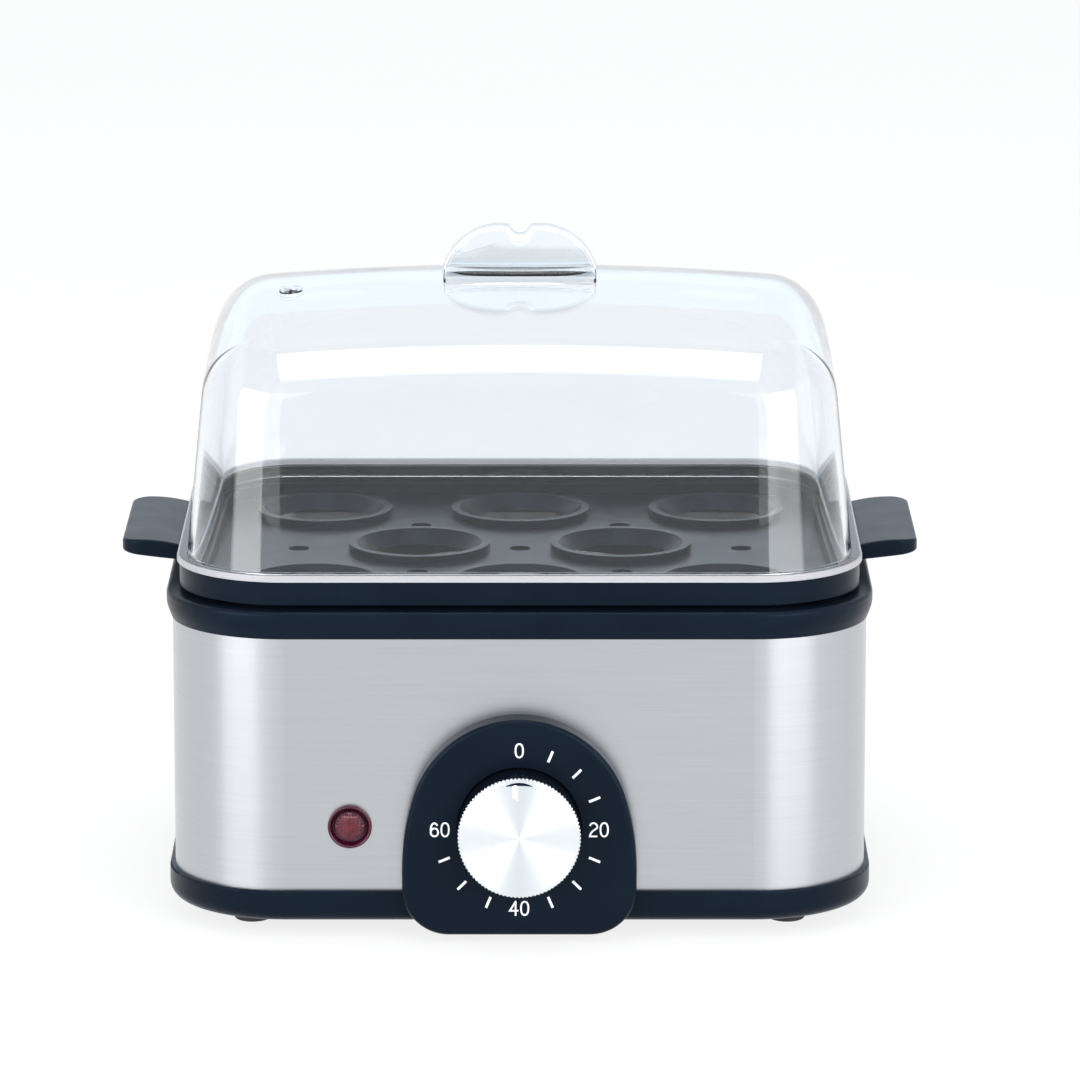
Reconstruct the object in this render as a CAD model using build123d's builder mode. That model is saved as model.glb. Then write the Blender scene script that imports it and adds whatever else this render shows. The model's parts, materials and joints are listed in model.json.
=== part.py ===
from build123d import *
import os
from math import atan2, cos, degrees, radians, sin, sqrt, tan

# Electric egg cooker: a steel-wrapped base with a water bowl, heater and 60-minute timer,
# an egg tray with two side handles that lifts off it, and a clear cover that lifts off the tray.
# Millimetres. +Z is up, the control panel faces -Y, and the feet stand on Z = 0.

# Base outline seen from above, at the steel sleeve
body_w = 190.0
body_d = 160.0
body_r = 31.5

# Heights of the stack, from the table up
foot_h = 4.3
pan_h = 8.9
sleeve_h = 70.0
collar_h = 7.7
seat_gap = 1.3
band_h = 6.3
flange_t = 1.8
crown_rise = 67.05

# Clearances
fit = 0.1
running = 0.05
lift_gap = 0.6

# Rubber feet
foot_d = 10.2
foot_inset_x = 21.7
foot_inset_y = 19.5
foot_recess = 1.0
foot_stem_d = 5.0
foot_barb_d = 6.6
foot_barb_h = 1.2
foot_edge_r = 0.8

# Base pan
pan_swell = 1.5
pan_floor = 2.4
pan_bottom_r = 4.0
pan_edge_r = 0.6
lip_t = 2.0
lip_h = 6.0
vent_w = 3.0
vent_l = 34.0
vent_pitch = 9.0
vent_count = 6

# Screws that clamp the pan, sleeve and collar together
post_y = 30.0
post_d = 9.0
post_seam_z = 14.0
screw_d = 3.0
screw_bite = 12.0
screw_head_d = 6.0
screw_head_h = 2.2
screw_sink = 3.0

# Steel sleeve
sleeve_t = 0.6

# Top collar
collar_swell = 1.65
collar_toe = 0.25
collar_flare_h = 3.6
collar_flare_r = 8.0
collar_edge_r = 1.2
collar_skirt_t = 2.2
collar_skirt_h = 8.0
seat_inset = 5.6
plate_play = 0.8
ledge_inset = 15.0
ledge_t = 2.2

# Heating plate, its seal and its studs
plate_t = 0.8
basin_t = 1.0
basin_depth = 7.5
basin_r = 6.0
dish_r = 49.0
dish_depth = 4.0
seal_t = 1.2
stud_d = 4.0
stud_x = 50.0
stud_below = 4.5
nut_af = 7.0
nut_h = 3.0

# Tubular heater under the dish
coil_r = 36.0
tube_d = 6.6
coil_gap_deg = 60.0
cold_leg = 9.0
pin_d = 2.5
pin_l = 7.0
leg_d = 7.2
pad_w = 14.0
pad_t = 2.5

# Thermostat, its bracket and the thermal fuse
stat_cap_r = 8.0
stat_cap_h = 3.0
stat_body_r = 7.0
stat_body_h = 6.5
blade_w = 6.3
blade_t = 0.8
blade_l = 8.0
blade_gap = 8.0
strap_w = 20.0
strap_t = 0.8
strap_x = 22.0
strap_tab = 8.0
stud_past_nut = 1.4
small_stud_d = 3.0
small_nut_af = 5.5
small_nut_h = 2.4
fuse_d = 5.4
fuse_l = 22.0
fuse_edge = 0.7
fuse_y = 20.0

# Control panel, measured from the dial centre where it is an outline size
dial_z = 32.4
panel_top_r = 30.0
panel_turn_deg = 17.0
panel_half_w = 31.8
panel_shoulder = 14.2
panel_low = 30.0
panel_corner_r = 12.7
panel_proud = 7.5
panel_face_t = 2.5
panel_wall = 2.2
panel_edge_r = 1.4
recess_r = 17.0
recess_depth = 2.0
recess_floor = 2.0
cup_wall = 1.8
panel_boss_d = 5.2
panel_boss_drop = 9.0
panel_screw_d = 2.5
panel_screw_head_d = 5.0
panel_screw_head_h = 1.8
panel_screw_bite = 5.0
panel_screw_gap = 2.1

# Timer
timer_w = 44.0
timer_h = 40.0
timer_d = 26.0
timer_wall = 1.6
timer_plate_t = 1.5
window_gap = 1.0
timer_corner_r = 6.0
timer_screw_x = 12.0
timer_screw_d = 2.5
timer_screw_head_d = 4.8
timer_screw_end = 0.8
shaft_d = 6.0
shaft_flat = 2.2
shoulder_d = 9.0
shoulder_t = 1.5
arbor_d = 5.0
journal_d = 4.0
journal_over = 1.0
cam_d = 24.0
cam_t = 4.0
cam_back = 6.0
cam_notch = 3.0
leaf_t = 0.5
leaf_w = 5.0
leaf_gap = 0.6
leaf_pitch = 4.2
leaf_l = 26.0
button_d = 3.0
button_h = 1.5
tab_out = 7.0
bell_r = 15.0
bell_h = 7.0
bell_t = 1.0
bell_edge_r = 2.0
bell_x = 6.0
bell_up = 2.0
bell_gap = 1.0
bell_pin_d = 4.0
bell_rivet_d = 2.5
bell_rivet_head_d = 5.0

# Knob
knob_r = 16.3
knob_proud = 10.7
knob_gap = 0.6
knob_wall = 2.0
knob_front_t = 2.5
knob_hub_d = 11.0
cap_r = 16.6
cap_t = 1.2
cap_edge = 0.3
slit_r = 14.0
slit_w = 0.8
slit_deg = 30.0
slit_depth = 0.6
pointer_w = 1.1
pointer_l = 3.0
pointer_r = 11.5
pointer_side = 0.8
pointer_t = 0.5

# Signal lamp
lamp_x = 46.0
lamp_z = 31.1
lens_flange_d = 12.0
lens_flange_t = 1.2
lens_dome = 0.8
lens_barrel_d = 10.0
lens_l = 9.0
lens_bore_d = 7.0
lens_front_t = 1.6
holder_t = 1.6
holder_end = 1.2
neon_d = 5.6
neon_l = 15.0
neon_tip_r = 1.9

# Cord inlet and terminal block
gland_x = 45.0
gland_z = 26.6
gland_bore_d = 6.5
gland_neck_d = 9.0
gland_flange_d = 12.5
gland_flange_t = 1.5
gland_inner_t = 3.0
gland_edge_r = 0.75
block_w = 24.0
block_d = 14.0
block_h = 12.0
block_y = 50.0
block_boss_d = 6.0
block_boss_h = 3.0
block_screw_d = 2.5
block_screw_head_d = 4.6
block_screw_head_h = 1.6
block_pitch = 9.0

# Cross recess of every screw head, as shares of the head's diameter
cross_span = 0.6
cross_width = 0.14

# Leads
lead_d = 2.2
flag = 5.0
neon_lead_x = 1.4

# Egg tray; the handles' heights count from the band's foot
band_inset = 2.0
band_wall = 2.5
web_t = 1.8
spigot_t = 2.0
spigot_h = 5.1
deck_drop = 7.9
deck_t = 2.0
seat_pitch_x = 56.5
seat_pitch_y = 46.0
seat_top_d = 35.0
seat_bottom_d = 28.0
seat_ring_d = 39.5
seat_ring_h = 2.0
steam_d = 6.0
steam_y = 30.0
steam_side_x = 62.0
handle_l = 17.0
handle_w = 58.0
handle_top_root = 5.0
handle_top_mid = 7.0
handle_top_tip = 6.8
handle_low_root = 1.2
handle_low_mid = 2.2
handle_low_tip = 3.4
handle_mid = 8.1
handle_r = 5.0
handle_edge_r = 0.8

# Clear cover
flange_inset = 1.3
cover_inset = 3.9
cover_t = 1.8
cover_draft = 5.7
cover_edge_r = 17.0
crown_r_side = 900.0
crown_r_front = 268.0
crown_stations = (-1, -0.5, 0, 0.5, 1)
cover_lip_h = 3.0
cover_lip_t = 1.3
vent_x = 63.5
vent_y = 7.0
vent_bore_d = 3.8
vent_boss_d = 6.4
vent_boss_h = 1.0
grip_half_w = 21.3
grip_h = 15.3
grip_flat = 6.9
grip_foot_h = 3.4
grip_bulge = 0.66
grip_t = 5.6
grip_foot_t = 9.5
grip_foot_r = 3.4
grip_skin = 1.5
notch_r = 2.8

# Levels and places that follow from the sizes above
pan_z = foot_h
floor_z = pan_z + pan_floor
sleeve_z = pan_z + pan_h
collar_z = sleeve_z + sleeve_h
collar_top = collar_z + collar_h
band_z = collar_top + seat_gap
band_top = band_z + band_h
plate_top = band_z - spigot_h
ledge_top = plate_top - plate_t - seal_t
ledge_z = ledge_top - ledge_t
basin_z = plate_top - basin_depth
dish_z = basin_z - dish_depth
dish_under = dish_z - basin_t
coil_z = dish_under - tube_d / 2 - running
stud_l = seal_t + ledge_t + stud_below
small_stud_l = strap_t + small_nut_h + stud_past_nut
deck_top = band_top - deck_drop
crown_z = band_top + flange_t + crown_rise
foot_x = body_w / 2 - foot_inset_x
foot_y = body_d / 2 - foot_inset_y
post_x = body_w / 2 - (sleeve_t + fit + collar_skirt_t + ledge_inset) / 2
stud_y = body_d / 2 - (seat_inset + ledge_inset) / 2
lip_inset = sleeve_t + fit
plate_inset = seat_inset + plate_play
basin_inset = ledge_inset + lift_gap
spigot_inset = seat_inset + lift_gap
lip_out = band_inset + band_wall + lift_gap
lip_in = lip_out + cover_lip_t
crown_half_x = body_w / 2 + cover_t
crown_half_y = body_d / 2 + cover_t
window_w = timer_w + 2 * window_gap
window_h = timer_h + 2 * window_gap
panel_boss_x = timer_w / 2 + panel_screw_gap + panel_screw_head_d / 2
panel_boss_top = timer_h / 2 + panel_screw_gap + panel_screw_head_d / 2
panel_screw_spots = [(x, -panel_boss_drop) for x in (-panel_boss_x, panel_boss_x)] + [(0, panel_boss_top)]
block_spots = [(gland_x - block_pitch, block_y), (gland_x + block_pitch, block_y)]
flare = collar_swell - collar_toe
half_gap = radians(coil_gap_deg / 2)
coil_end_x = coil_r * cos(half_gap)
coil_end_y = coil_r * sin(half_gap)

# The frame's origin is under the middle of the whole object, knob included
front_reach = body_d / 2 + panel_proud + knob_proud
rear_reach = body_d / 2 + max(collar_swell, pan_swell, gland_flange_t)
body_y = (front_reach - rear_reach) / 2

body_xy = Plane(origin=(0, body_y, 0))
body_axis = Axis((0, body_y, 0), (0, 0, 1))
side_view = Plane(origin=(0, body_y, 0), x_dir=(0, 1, 0), z_dir=(1, 0, 0))
front_view = Plane(origin=(0, body_y, 0), x_dir=(1, 0, 0), z_dir=(0, -1, 0))
front_face = front_view.offset(body_d / 2)
dial = Plane(origin=front_face.origin + Vector(0, 0, dial_z), x_dir=(1, 0, 0), z_dir=(0, -1, 0))
lamp = Plane(origin=front_face.origin + Vector(-lamp_x, 0, lamp_z), x_dir=(1, 0, 0), z_dir=(0, -1, 0))
rear = Plane(origin=(gland_x, body_y + body_d / 2, gland_z), x_dir=(-1, 0, 0), z_dir=(0, 1, 0))


def outline(inset, mode=Mode.ADD):
    """The base's rounded outline, drawn in from the sleeve's outer face."""
    return RectangleRounded(body_w - 2 * inset, body_d - 2 * inset, body_r - inset, mode=mode)


def ring(outer_inset, inner_inset):
    """A closed band between two such outlines."""
    outline(outer_inset)
    outline(inner_inset, Mode.SUBTRACT)


def four_posts():
    return GridLocations(2 * post_x, 2 * post_y, 2, 2)


def four_feet():
    return GridLocations(2 * foot_x, 2 * foot_y, 2, 2)


def four_studs():
    return GridLocations(2 * stud_x, 2 * stud_y, 2, 2)


# Rubber feet, pushed through the pan's floor
with BuildPart() as rubber_feet:
    with BuildSketch(body_xy):
        with four_feet():
            Circle(foot_d / 2)
    extrude(amount=foot_h + foot_recess)
    fillet(rubber_feet.edges().group_by(Axis.Z)[0], foot_edge_r)
    with BuildSketch(body_xy.offset(foot_h + foot_recess)):
        with four_feet():
            Circle(foot_stem_d / 2)
    extrude(amount=pan_floor - foot_recess)
    with BuildSketch(body_xy.offset(floor_z)):
        with four_feet():
            Circle(foot_barb_d / 2)
    extrude(amount=foot_barb_h)

# Base pan: floor, outer ring, locating lip inside the sleeve, and screw bosses
with BuildPart() as base_pan:
    with BuildSketch(body_xy.offset(pan_z)):
        outline(-pan_swell)
    extrude(amount=pan_h)
    fillet(base_pan.edges().group_by(Axis.Z)[0], pan_bottom_r)
    fillet(base_pan.edges().group_by(Axis.Z)[-1], pan_edge_r)
    with BuildSketch(body_xy.offset(sleeve_z)):
        ring(lip_inset, lip_inset + lip_t)
    extrude(amount=lip_h)
    with BuildSketch(body_xy.offset(floor_z)):
        outline(lip_inset + lip_t)
    extrude(amount=pan_h + lip_h, mode=Mode.SUBTRACT)
    with BuildSketch(body_xy.offset(floor_z)):
        with four_posts():
            Circle(post_d / 2)
        with Locations(*block_spots):
            Circle(block_boss_d / 2)
    extrude(amount=block_boss_h)
    with BuildSketch(body_xy.offset(floor_z)):
        with four_posts():
            Circle(post_d / 2)
    extrude(amount=post_seam_z - floor_z)
    with Locations(body_xy.offset(pan_z)):
        with four_posts():
            Cylinder(screw_d / 2 + fit, 2 * post_seam_z, mode=Mode.SUBTRACT)
            Cylinder(screw_head_d / 2 + fit, 2 * screw_sink, mode=Mode.SUBTRACT)
        with four_feet():
            Cylinder(foot_stem_d / 2 + fit, 4 * pan_floor, mode=Mode.SUBTRACT)
            Cylinder(foot_d / 2 + fit, 2 * foot_recess, mode=Mode.SUBTRACT)
        with GridLocations(vent_pitch, 0, vent_count, 1):
            Box(vent_w, vent_l, 4 * pan_floor, mode=Mode.SUBTRACT)
    with Locations(body_xy.offset(floor_z + block_boss_h)):
        with Locations(*block_spots):
            Cylinder(block_screw_d / 2 + fit, 2 * block_boss_h, mode=Mode.SUBTRACT)
    with BuildSketch(dial):
        RectangleRounded(window_w, window_h, timer_corner_r + window_gap)
    extrude(amount=timer_wall + lip_inset + lip_t, both=True, mode=Mode.SUBTRACT)


def clearance_hole(diameter, play=fit):
    return Circle(diameter / 2 + play)


def hexagon(across_flats):
    return RegularPolygon(across_flats / 2, 6, major_radius=False)


def cross_slot(head_d, depth):
    """Cross recess for a screwdriver, at the plane where it is placed."""
    Box(head_d * cross_span, head_d * cross_width, 2 * depth, mode=Mode.SUBTRACT)
    Box(head_d * cross_width, head_d * cross_span, 2 * depth, mode=Mode.SUBTRACT)


# Brushed steel sleeve with the timer window, lamp hole, panel screw holes and cord hole
with BuildPart() as steel_sleeve:
    with BuildSketch(body_xy.offset(sleeve_z)):
        ring(0, sleeve_t)
    extrude(amount=sleeve_h)
    with BuildSketch(dial):
        RectangleRounded(window_w, window_h, timer_corner_r + window_gap)
        with Locations(*panel_screw_spots):
            clearance_hole(panel_screw_d)
    extrude(amount=3 * sleeve_t, both=True, mode=Mode.SUBTRACT)
    with BuildSketch(lamp):
        clearance_hole(lens_barrel_d)
    extrude(amount=3 * sleeve_t, both=True, mode=Mode.SUBTRACT)
    with BuildSketch(rear):
        clearance_hole(gland_neck_d)
    extrude(amount=3 * sleeve_t, both=True, mode=Mode.SUBTRACT)

# Top collar: flared rim, inner ledge for the plate, skirt inside the sleeve, four screw posts
with BuildPart() as top_collar:
    with BuildSketch(body_xy.offset(collar_z)):
        outline(-collar_toe)
    extrude(amount=collar_flare_h, taper=-degrees(atan2(flare, collar_flare_h)))
    with BuildSketch(body_xy.offset(collar_z + collar_flare_h)):
        outline(-collar_swell)
    extrude(amount=collar_h - collar_flare_h)
    flare_z = collar_z + collar_flare_h
    fillet(top_collar.edges().filter_by_position(Axis.Z, flare_z - fit, flare_z + fit), collar_flare_r)
    fillet(top_collar.edges().group_by(Axis.Z)[-1], collar_edge_r)
    with BuildSketch(body_xy.offset(collar_z)):
        outline(seat_inset)
    extrude(amount=collar_h, mode=Mode.SUBTRACT)
    with BuildSketch(body_xy.offset(collar_z - collar_skirt_h)):
        ring(lip_inset, lip_inset + collar_skirt_t)
    extrude(amount=collar_skirt_h + ledge_top - collar_z)
    with BuildSketch(body_xy.offset(ledge_z)):
        ring(lip_inset, ledge_inset)
    extrude(amount=ledge_t)
    with BuildSketch(body_xy.offset(post_seam_z)):
        with four_posts():
            Circle(post_d / 2)
    extrude(amount=ledge_z - post_seam_z)
    with BuildSketch(body_xy.offset(post_seam_z)):
        with four_posts():
            clearance_hole(screw_d, running)
    extrude(amount=screw_bite + 2 * screw_d, mode=Mode.SUBTRACT)
    with BuildSketch(body_xy.offset(ledge_z)):
        with four_studs():
            clearance_hole(stud_d)
    extrude(amount=ledge_t, mode=Mode.SUBTRACT)

# Four screws that hold pan, sleeve and collar together from below
with BuildPart() as body_screws:
    with BuildSketch(body_xy.offset(pan_z + screw_sink - screw_head_h)):
        with four_posts():
            Circle(screw_head_d / 2)
    extrude(amount=screw_head_h)
    with BuildSketch(body_xy.offset(pan_z + screw_sink)):
        with four_posts():
            Circle(screw_d / 2)
    extrude(amount=post_seam_z - pan_z - screw_sink + screw_bite)
    with Locations(body_xy.offset(pan_z + screw_sink - screw_head_h)):
        with four_posts():
            cross_slot(screw_head_d, screw_head_h / 2)

with BuildPart() as basin_hollow:
    with BuildSketch(body_xy.offset(basin_z)):
        outline(basin_inset + basin_t)
    extrude(amount=basin_depth + plate_t)
    fillet(basin_hollow.edges().group_by(Axis.Z)[0], basin_r - basin_t)

# Heating plate: rim on the collar's ledge, shallow basin, round dish, heater pad and studs
with BuildPart() as heating_plate:
    with BuildSketch(body_xy.offset(basin_z - basin_t)):
        outline(basin_inset)
    extrude(amount=basin_depth + basin_t)
    fillet(heating_plate.edges().group_by(Axis.Z)[0], basin_r)
    with BuildSketch(body_xy.offset(plate_top - plate_t)):
        outline(plate_inset)
    extrude(amount=plate_t)
    with BuildSketch(body_xy.offset(dish_under)):
        Circle(dish_r + basin_t)
    extrude(amount=dish_depth)
    add(basin_hollow.part, mode=Mode.SUBTRACT)
    with BuildSketch(body_xy.offset(dish_z)):
        Circle(dish_r)
    extrude(amount=dish_depth, mode=Mode.SUBTRACT)
    with BuildSketch(body_xy.offset(dish_under - pad_t)):
        Circle(coil_r + pad_w / 2)
        Circle(coil_r - pad_w / 2, mode=Mode.SUBTRACT)
    extrude(amount=pad_t)
    with BuildSketch(side_view):
        with Locations((coil_r, coil_z)):
            Circle(tube_d / 2 + running)
    revolve(axis=body_axis, mode=Mode.SUBTRACT)
    with BuildSketch(body_xy.offset(dish_under)):
        with Locations((coil_end_x, -coil_end_y), (coil_end_x, coil_end_y)):
            clearance_hole(leg_d)
    extrude(amount=-pad_t, mode=Mode.SUBTRACT)
    with BuildSketch(body_xy.offset(plate_top - plate_t - stud_l)):
        with four_studs():
            Circle(stud_d / 2)
    extrude(amount=stud_l)
    with BuildSketch(body_xy.offset(dish_under - small_stud_l)):
        with Locations((-strap_x, 0), (strap_x, 0)):
            Circle(small_stud_d / 2)
    extrude(amount=small_stud_l)

# Silicone seal between the plate's rim and the ledge
with BuildPart() as plate_seal:
    with BuildSketch(body_xy.offset(ledge_top)):
        ring(plate_inset + lift_gap, ledge_inset - lift_gap)
        with four_studs():
            Circle(stud_d / 2 + fit, mode=Mode.SUBTRACT)
    extrude(amount=seal_t)

# Nuts under the ledge
with BuildPart() as plate_nuts:
    with BuildSketch(body_xy.offset(ledge_z - nut_h)):
        with four_studs():
            hexagon(nut_af)
        with four_studs():
            Circle(stud_d / 2 + running, mode=Mode.SUBTRACT)
    extrude(amount=nut_h)

# Tubular heater: an open ring in the pad's groove with two cold legs and pins
coil_ends = [(coil_end_x, -coil_end_y), (coil_end_x, coil_end_y)]
coil_start = Plane(origin=(0, body_y, 0), x_dir=(cos(half_gap), sin(half_gap), 0),
                   z_dir=(sin(half_gap), -cos(half_gap), 0))
leg_end_z = coil_z - tube_d / 2 - cold_leg
pin_end_z = leg_end_z - pin_l
with BuildPart() as heater_element:
    with BuildSketch(coil_start):
        with Locations((coil_r, coil_z)):
            Circle(tube_d / 2)
    revolve(axis=body_axis, revolution_arc=360 - coil_gap_deg)
    with Locations(body_xy.offset(leg_end_z)):
        with Locations(*coil_ends):
            Cylinder(leg_d / 2, coil_z + tube_d / 2 - leg_end_z,
                     align=(Align.CENTER, Align.CENTER, Align.MIN))
            Cylinder(pin_d / 2, pin_l, align=(Align.CENTER, Align.CENTER, Align.MAX))

# Bimetal thermostat against the middle of the dish
strap_z = dish_under - stat_cap_h
blade_end_z = strap_z - stat_body_h - blade_l
with BuildPart() as thermostat:
    with Locations(body_xy.offset(dish_under)):
        Cylinder(stat_cap_r, stat_cap_h, align=(Align.CENTER, Align.CENTER, Align.MAX))
    with Locations(body_xy.offset(strap_z)):
        Cylinder(stat_body_r, stat_body_h, align=(Align.CENTER, Align.CENTER, Align.MAX))
    with Locations(body_xy.offset(strap_z - stat_body_h)):
        with Locations((-blade_gap / 2, 0), (blade_gap / 2, 0)):
            Box(blade_t, blade_w, blade_l, align=(Align.CENTER, Align.CENTER, Align.MAX))

# Bent strap that presses the thermostat and the fuse against the dish
tab_in = strap_x - strap_tab / 2
tab_end = strap_x + strap_tab / 2
arm_z = dish_under - fuse_d
arm_y = fuse_y - fuse_d / 2 - lift_gap
arm_end = fuse_y + fuse_d / 2 + strap_t
with BuildPart() as thermostat_bracket:
    with BuildSketch(front_view):
        with BuildLine():
            Polyline(
                (0, strap_z), (tab_in - strap_t, strap_z), (tab_in - strap_t, dish_under),
                (tab_end, dish_under), (tab_end, dish_under - strap_t), (tab_in, dish_under - strap_t),
                (tab_in, strap_z - strap_t), (0, strap_z - strap_t),
            )
            mirror(about=Plane.YZ)
        make_face()
    extrude(amount=strap_w / 2, both=True)
    with BuildSketch(side_view):
        with BuildLine():
            Polyline(
                (strap_w / 2 - strap_t, strap_z), (arm_y, strap_z), (arm_y, arm_z), (arm_end, arm_z),
                (arm_end, arm_z - strap_t), (arm_y - strap_t, arm_z - strap_t),
                (arm_y - strap_t, strap_z - strap_t), (strap_w / 2 - strap_t, strap_z - strap_t), close=True,
            )
        make_face()
    extrude(amount=strap_tab / 2, both=True)
    with BuildSketch(body_xy.offset(dish_under)):
        clearance_hole(2 * stat_body_r)
        with Locations((-strap_x, 0), (strap_x, 0)):
            clearance_hole(small_stud_d)
    extrude(amount=-2 * stat_cap_h, mode=Mode.SUBTRACT)

with BuildPart() as bracket_nuts:
    with BuildSketch(body_xy.offset(dish_under - strap_t - small_nut_h)):
        with Locations((-strap_x, 0), (strap_x, 0)):
            hexagon(small_nut_af)
        with Locations((-strap_x, 0), (strap_x, 0)):
            Circle(small_stud_d / 2 + running, mode=Mode.SUBTRACT)
    extrude(amount=small_nut_h)

with BuildPart() as thermal_fuse:
    with BuildSketch(side_view):
        with Locations((fuse_y, dish_under - fuse_d / 2)):
            Circle(fuse_d / 2 - running)
    extrude(amount=fuse_l / 2, both=True)
    chamfer(thermal_fuse.edges(), fuse_edge)


# Control panel's front outline about the dial centre, and the same drawn in by its wall
with BuildSketch() as panel_outline:
    with BuildLine():
        arch = CenterArc((0, 0), panel_top_r, 90, panel_turn_deg - 90)
        TangentArc(arch @ 1, (panel_half_w, -panel_shoulder), tangent=arch % 1)
        Line((panel_half_w, -panel_shoulder), (panel_half_w, panel_corner_r - panel_low))
        CenterArc((panel_half_w - panel_corner_r, panel_corner_r - panel_low), panel_corner_r, 0, -90)
        Line((panel_half_w - panel_corner_r, -panel_low), (0, -panel_low))
        mirror(about=Plane.YZ)
    make_face()

with BuildSketch() as panel_inside:
    add(panel_outline.sketch)
    offset(amount=-panel_wall, mode=Mode.REPLACE)

# Control panel: arched shell on the sleeve's front, with the knob's recess and screw bosses
cup_back = panel_proud - recess_depth - recess_floor
timer_front = cup_back - timer_plate_t
timer_head_h = (timer_screw_head_d - timer_screw_d) / 2
timer_screws_at = [(-timer_screw_x, 0), (timer_screw_x, 0)]
with BuildPart() as control_panel:
    with BuildSketch(dial):
        add(panel_outline.sketch)
    extrude(amount=panel_proud)
    fillet(control_panel.faces().sort_by(Axis.Y)[0].edges(), panel_edge_r)
    with BuildSketch(dial):
        add(panel_inside.sketch)
    extrude(amount=panel_proud - panel_face_t, mode=Mode.SUBTRACT)
    with BuildSketch(dial.offset(cup_back)):
        Circle(recess_r + cup_wall)
    extrude(amount=panel_proud - cup_back - panel_face_t)
    with BuildSketch(dial):
        with Locations(*panel_screw_spots):
            Circle(panel_boss_d / 2)
    extrude(amount=panel_proud - panel_face_t)
    with BuildSketch(dial):
        with Locations(*panel_screw_spots):
            clearance_hole(panel_screw_d, running)
    extrude(amount=panel_screw_bite + fit, mode=Mode.SUBTRACT)
    with BuildSketch(dial.offset(panel_proud - recess_depth)):
        Circle(recess_r)
    extrude(amount=2 * recess_depth, mode=Mode.SUBTRACT)
    with BuildSketch(dial.offset(cup_back)):
        Circle(shaft_d / 2 + lift_gap)
        with Locations(*timer_screws_at):
            clearance_hole(timer_screw_d)
    extrude(amount=recess_floor, mode=Mode.SUBTRACT)
    with Locations(dial.offset(cup_back + recess_floor)):
        with Locations(*timer_screws_at):
            Cone(timer_screw_d / 2 + fit, timer_screw_head_d / 2 + fit, timer_head_h,
                 align=(Align.CENTER, Align.CENTER, Align.MAX), mode=Mode.SUBTRACT)
    with BuildSketch(dial):
        with Locations((0, -dial_z)):
            Rectangle(3 * panel_half_w, sleeve_z, align=(Align.CENTER, Align.MIN))
    extrude(amount=pan_swell + fit, mode=Mode.SUBTRACT)

# Screws from inside the sleeve into the panel's bosses
with BuildPart() as panel_screws:
    with BuildSketch(dial.offset(-sleeve_t)):
        with Locations(*panel_screw_spots):
            Circle(panel_screw_head_d / 2)
    extrude(amount=-panel_screw_head_h)
    with BuildSketch(dial.offset(-sleeve_t)):
        with Locations(*panel_screw_spots):
            Circle(panel_screw_d / 2)
    extrude(amount=sleeve_t + panel_screw_bite)
    with Locations(dial.offset(-sleeve_t - panel_screw_head_h)):
        with Locations(*panel_screw_spots):
            cross_slot(panel_screw_head_d, panel_screw_head_h / 2)

# Timer: steel front plate, case with the bell's rivet, contacts, bell and screws
with BuildPart() as timer_plate:
    with BuildSketch(dial.offset(timer_front)):
        RectangleRounded(timer_w, timer_h, timer_corner_r)
        Circle(shaft_d / 2 + running, mode=Mode.SUBTRACT)
        with Locations(*timer_screws_at):
            Circle(timer_screw_d / 2 + running, mode=Mode.SUBTRACT)
    extrude(amount=timer_plate_t)

case_back = timer_front - timer_d
cam_mid = timer_front - cam_back - cam_t / 2
leaf_z = cam_d / 2 + leaf_gap
leaf_levels = [leaf_z, leaf_z + leaf_pitch]
bell_base = case_back - bell_gap - bell_h
with BuildPart() as timer_case:
    with BuildSketch(dial.offset(case_back)):
        RectangleRounded(timer_w, timer_h, timer_corner_r)
    extrude(amount=timer_d)
    with BuildSketch(dial.offset(case_back + timer_wall)):
        RectangleRounded(timer_w - 2 * timer_wall, timer_h - 2 * timer_wall, timer_corner_r - timer_wall)
    extrude(amount=timer_d, mode=Mode.SUBTRACT)
    with BuildSketch(dial.offset(case_back)):
        Circle(journal_d / 2 + running)
    extrude(amount=timer_wall, mode=Mode.SUBTRACT)
    with Locations(dial.offset(cam_mid)):
        for level in leaf_levels:
            with Locations((timer_w / 2 - timer_wall / 2, level + leaf_t / 2)):
                Box(4 * timer_wall, leaf_t + 2 * running, leaf_w + 2 * running, mode=Mode.SUBTRACT)
    with BuildSketch(dial.offset(case_back)):
        with Locations((bell_x, bell_up)):
            Circle(bell_pin_d / 2)
    extrude(amount=-(bell_gap + bell_h - bell_t))
    with BuildSketch(dial.offset(bell_base)):
        with Locations((bell_x, bell_up)):
            Circle(bell_rivet_d / 2)
    extrude(amount=bell_t)
    with BuildSketch(dial.offset(bell_base)):
        with Locations((bell_x, bell_up)):
            Circle(bell_rivet_head_d / 2)
    extrude(amount=-bell_t)

with BuildPart() as timer_bell:
    with BuildSketch(dial.offset(bell_base)):
        with Locations((bell_x, bell_up)):
            Circle(bell_r)
    extrude(amount=bell_h)
    fillet(timer_bell.faces().sort_by(Axis.Y)[-1].edges(), bell_edge_r)
    with BuildSketch(dial.offset(bell_base + bell_t)):
        with Locations((bell_x, bell_up)):
            Circle(bell_r - bell_t)
    extrude(amount=bell_h, mode=Mode.SUBTRACT)
    with BuildSketch(dial.offset(bell_base)):
        with Locations((bell_x, bell_up)):
            Circle(bell_rivet_d / 2 + running)
    extrude(amount=bell_t, mode=Mode.SUBTRACT)

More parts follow.
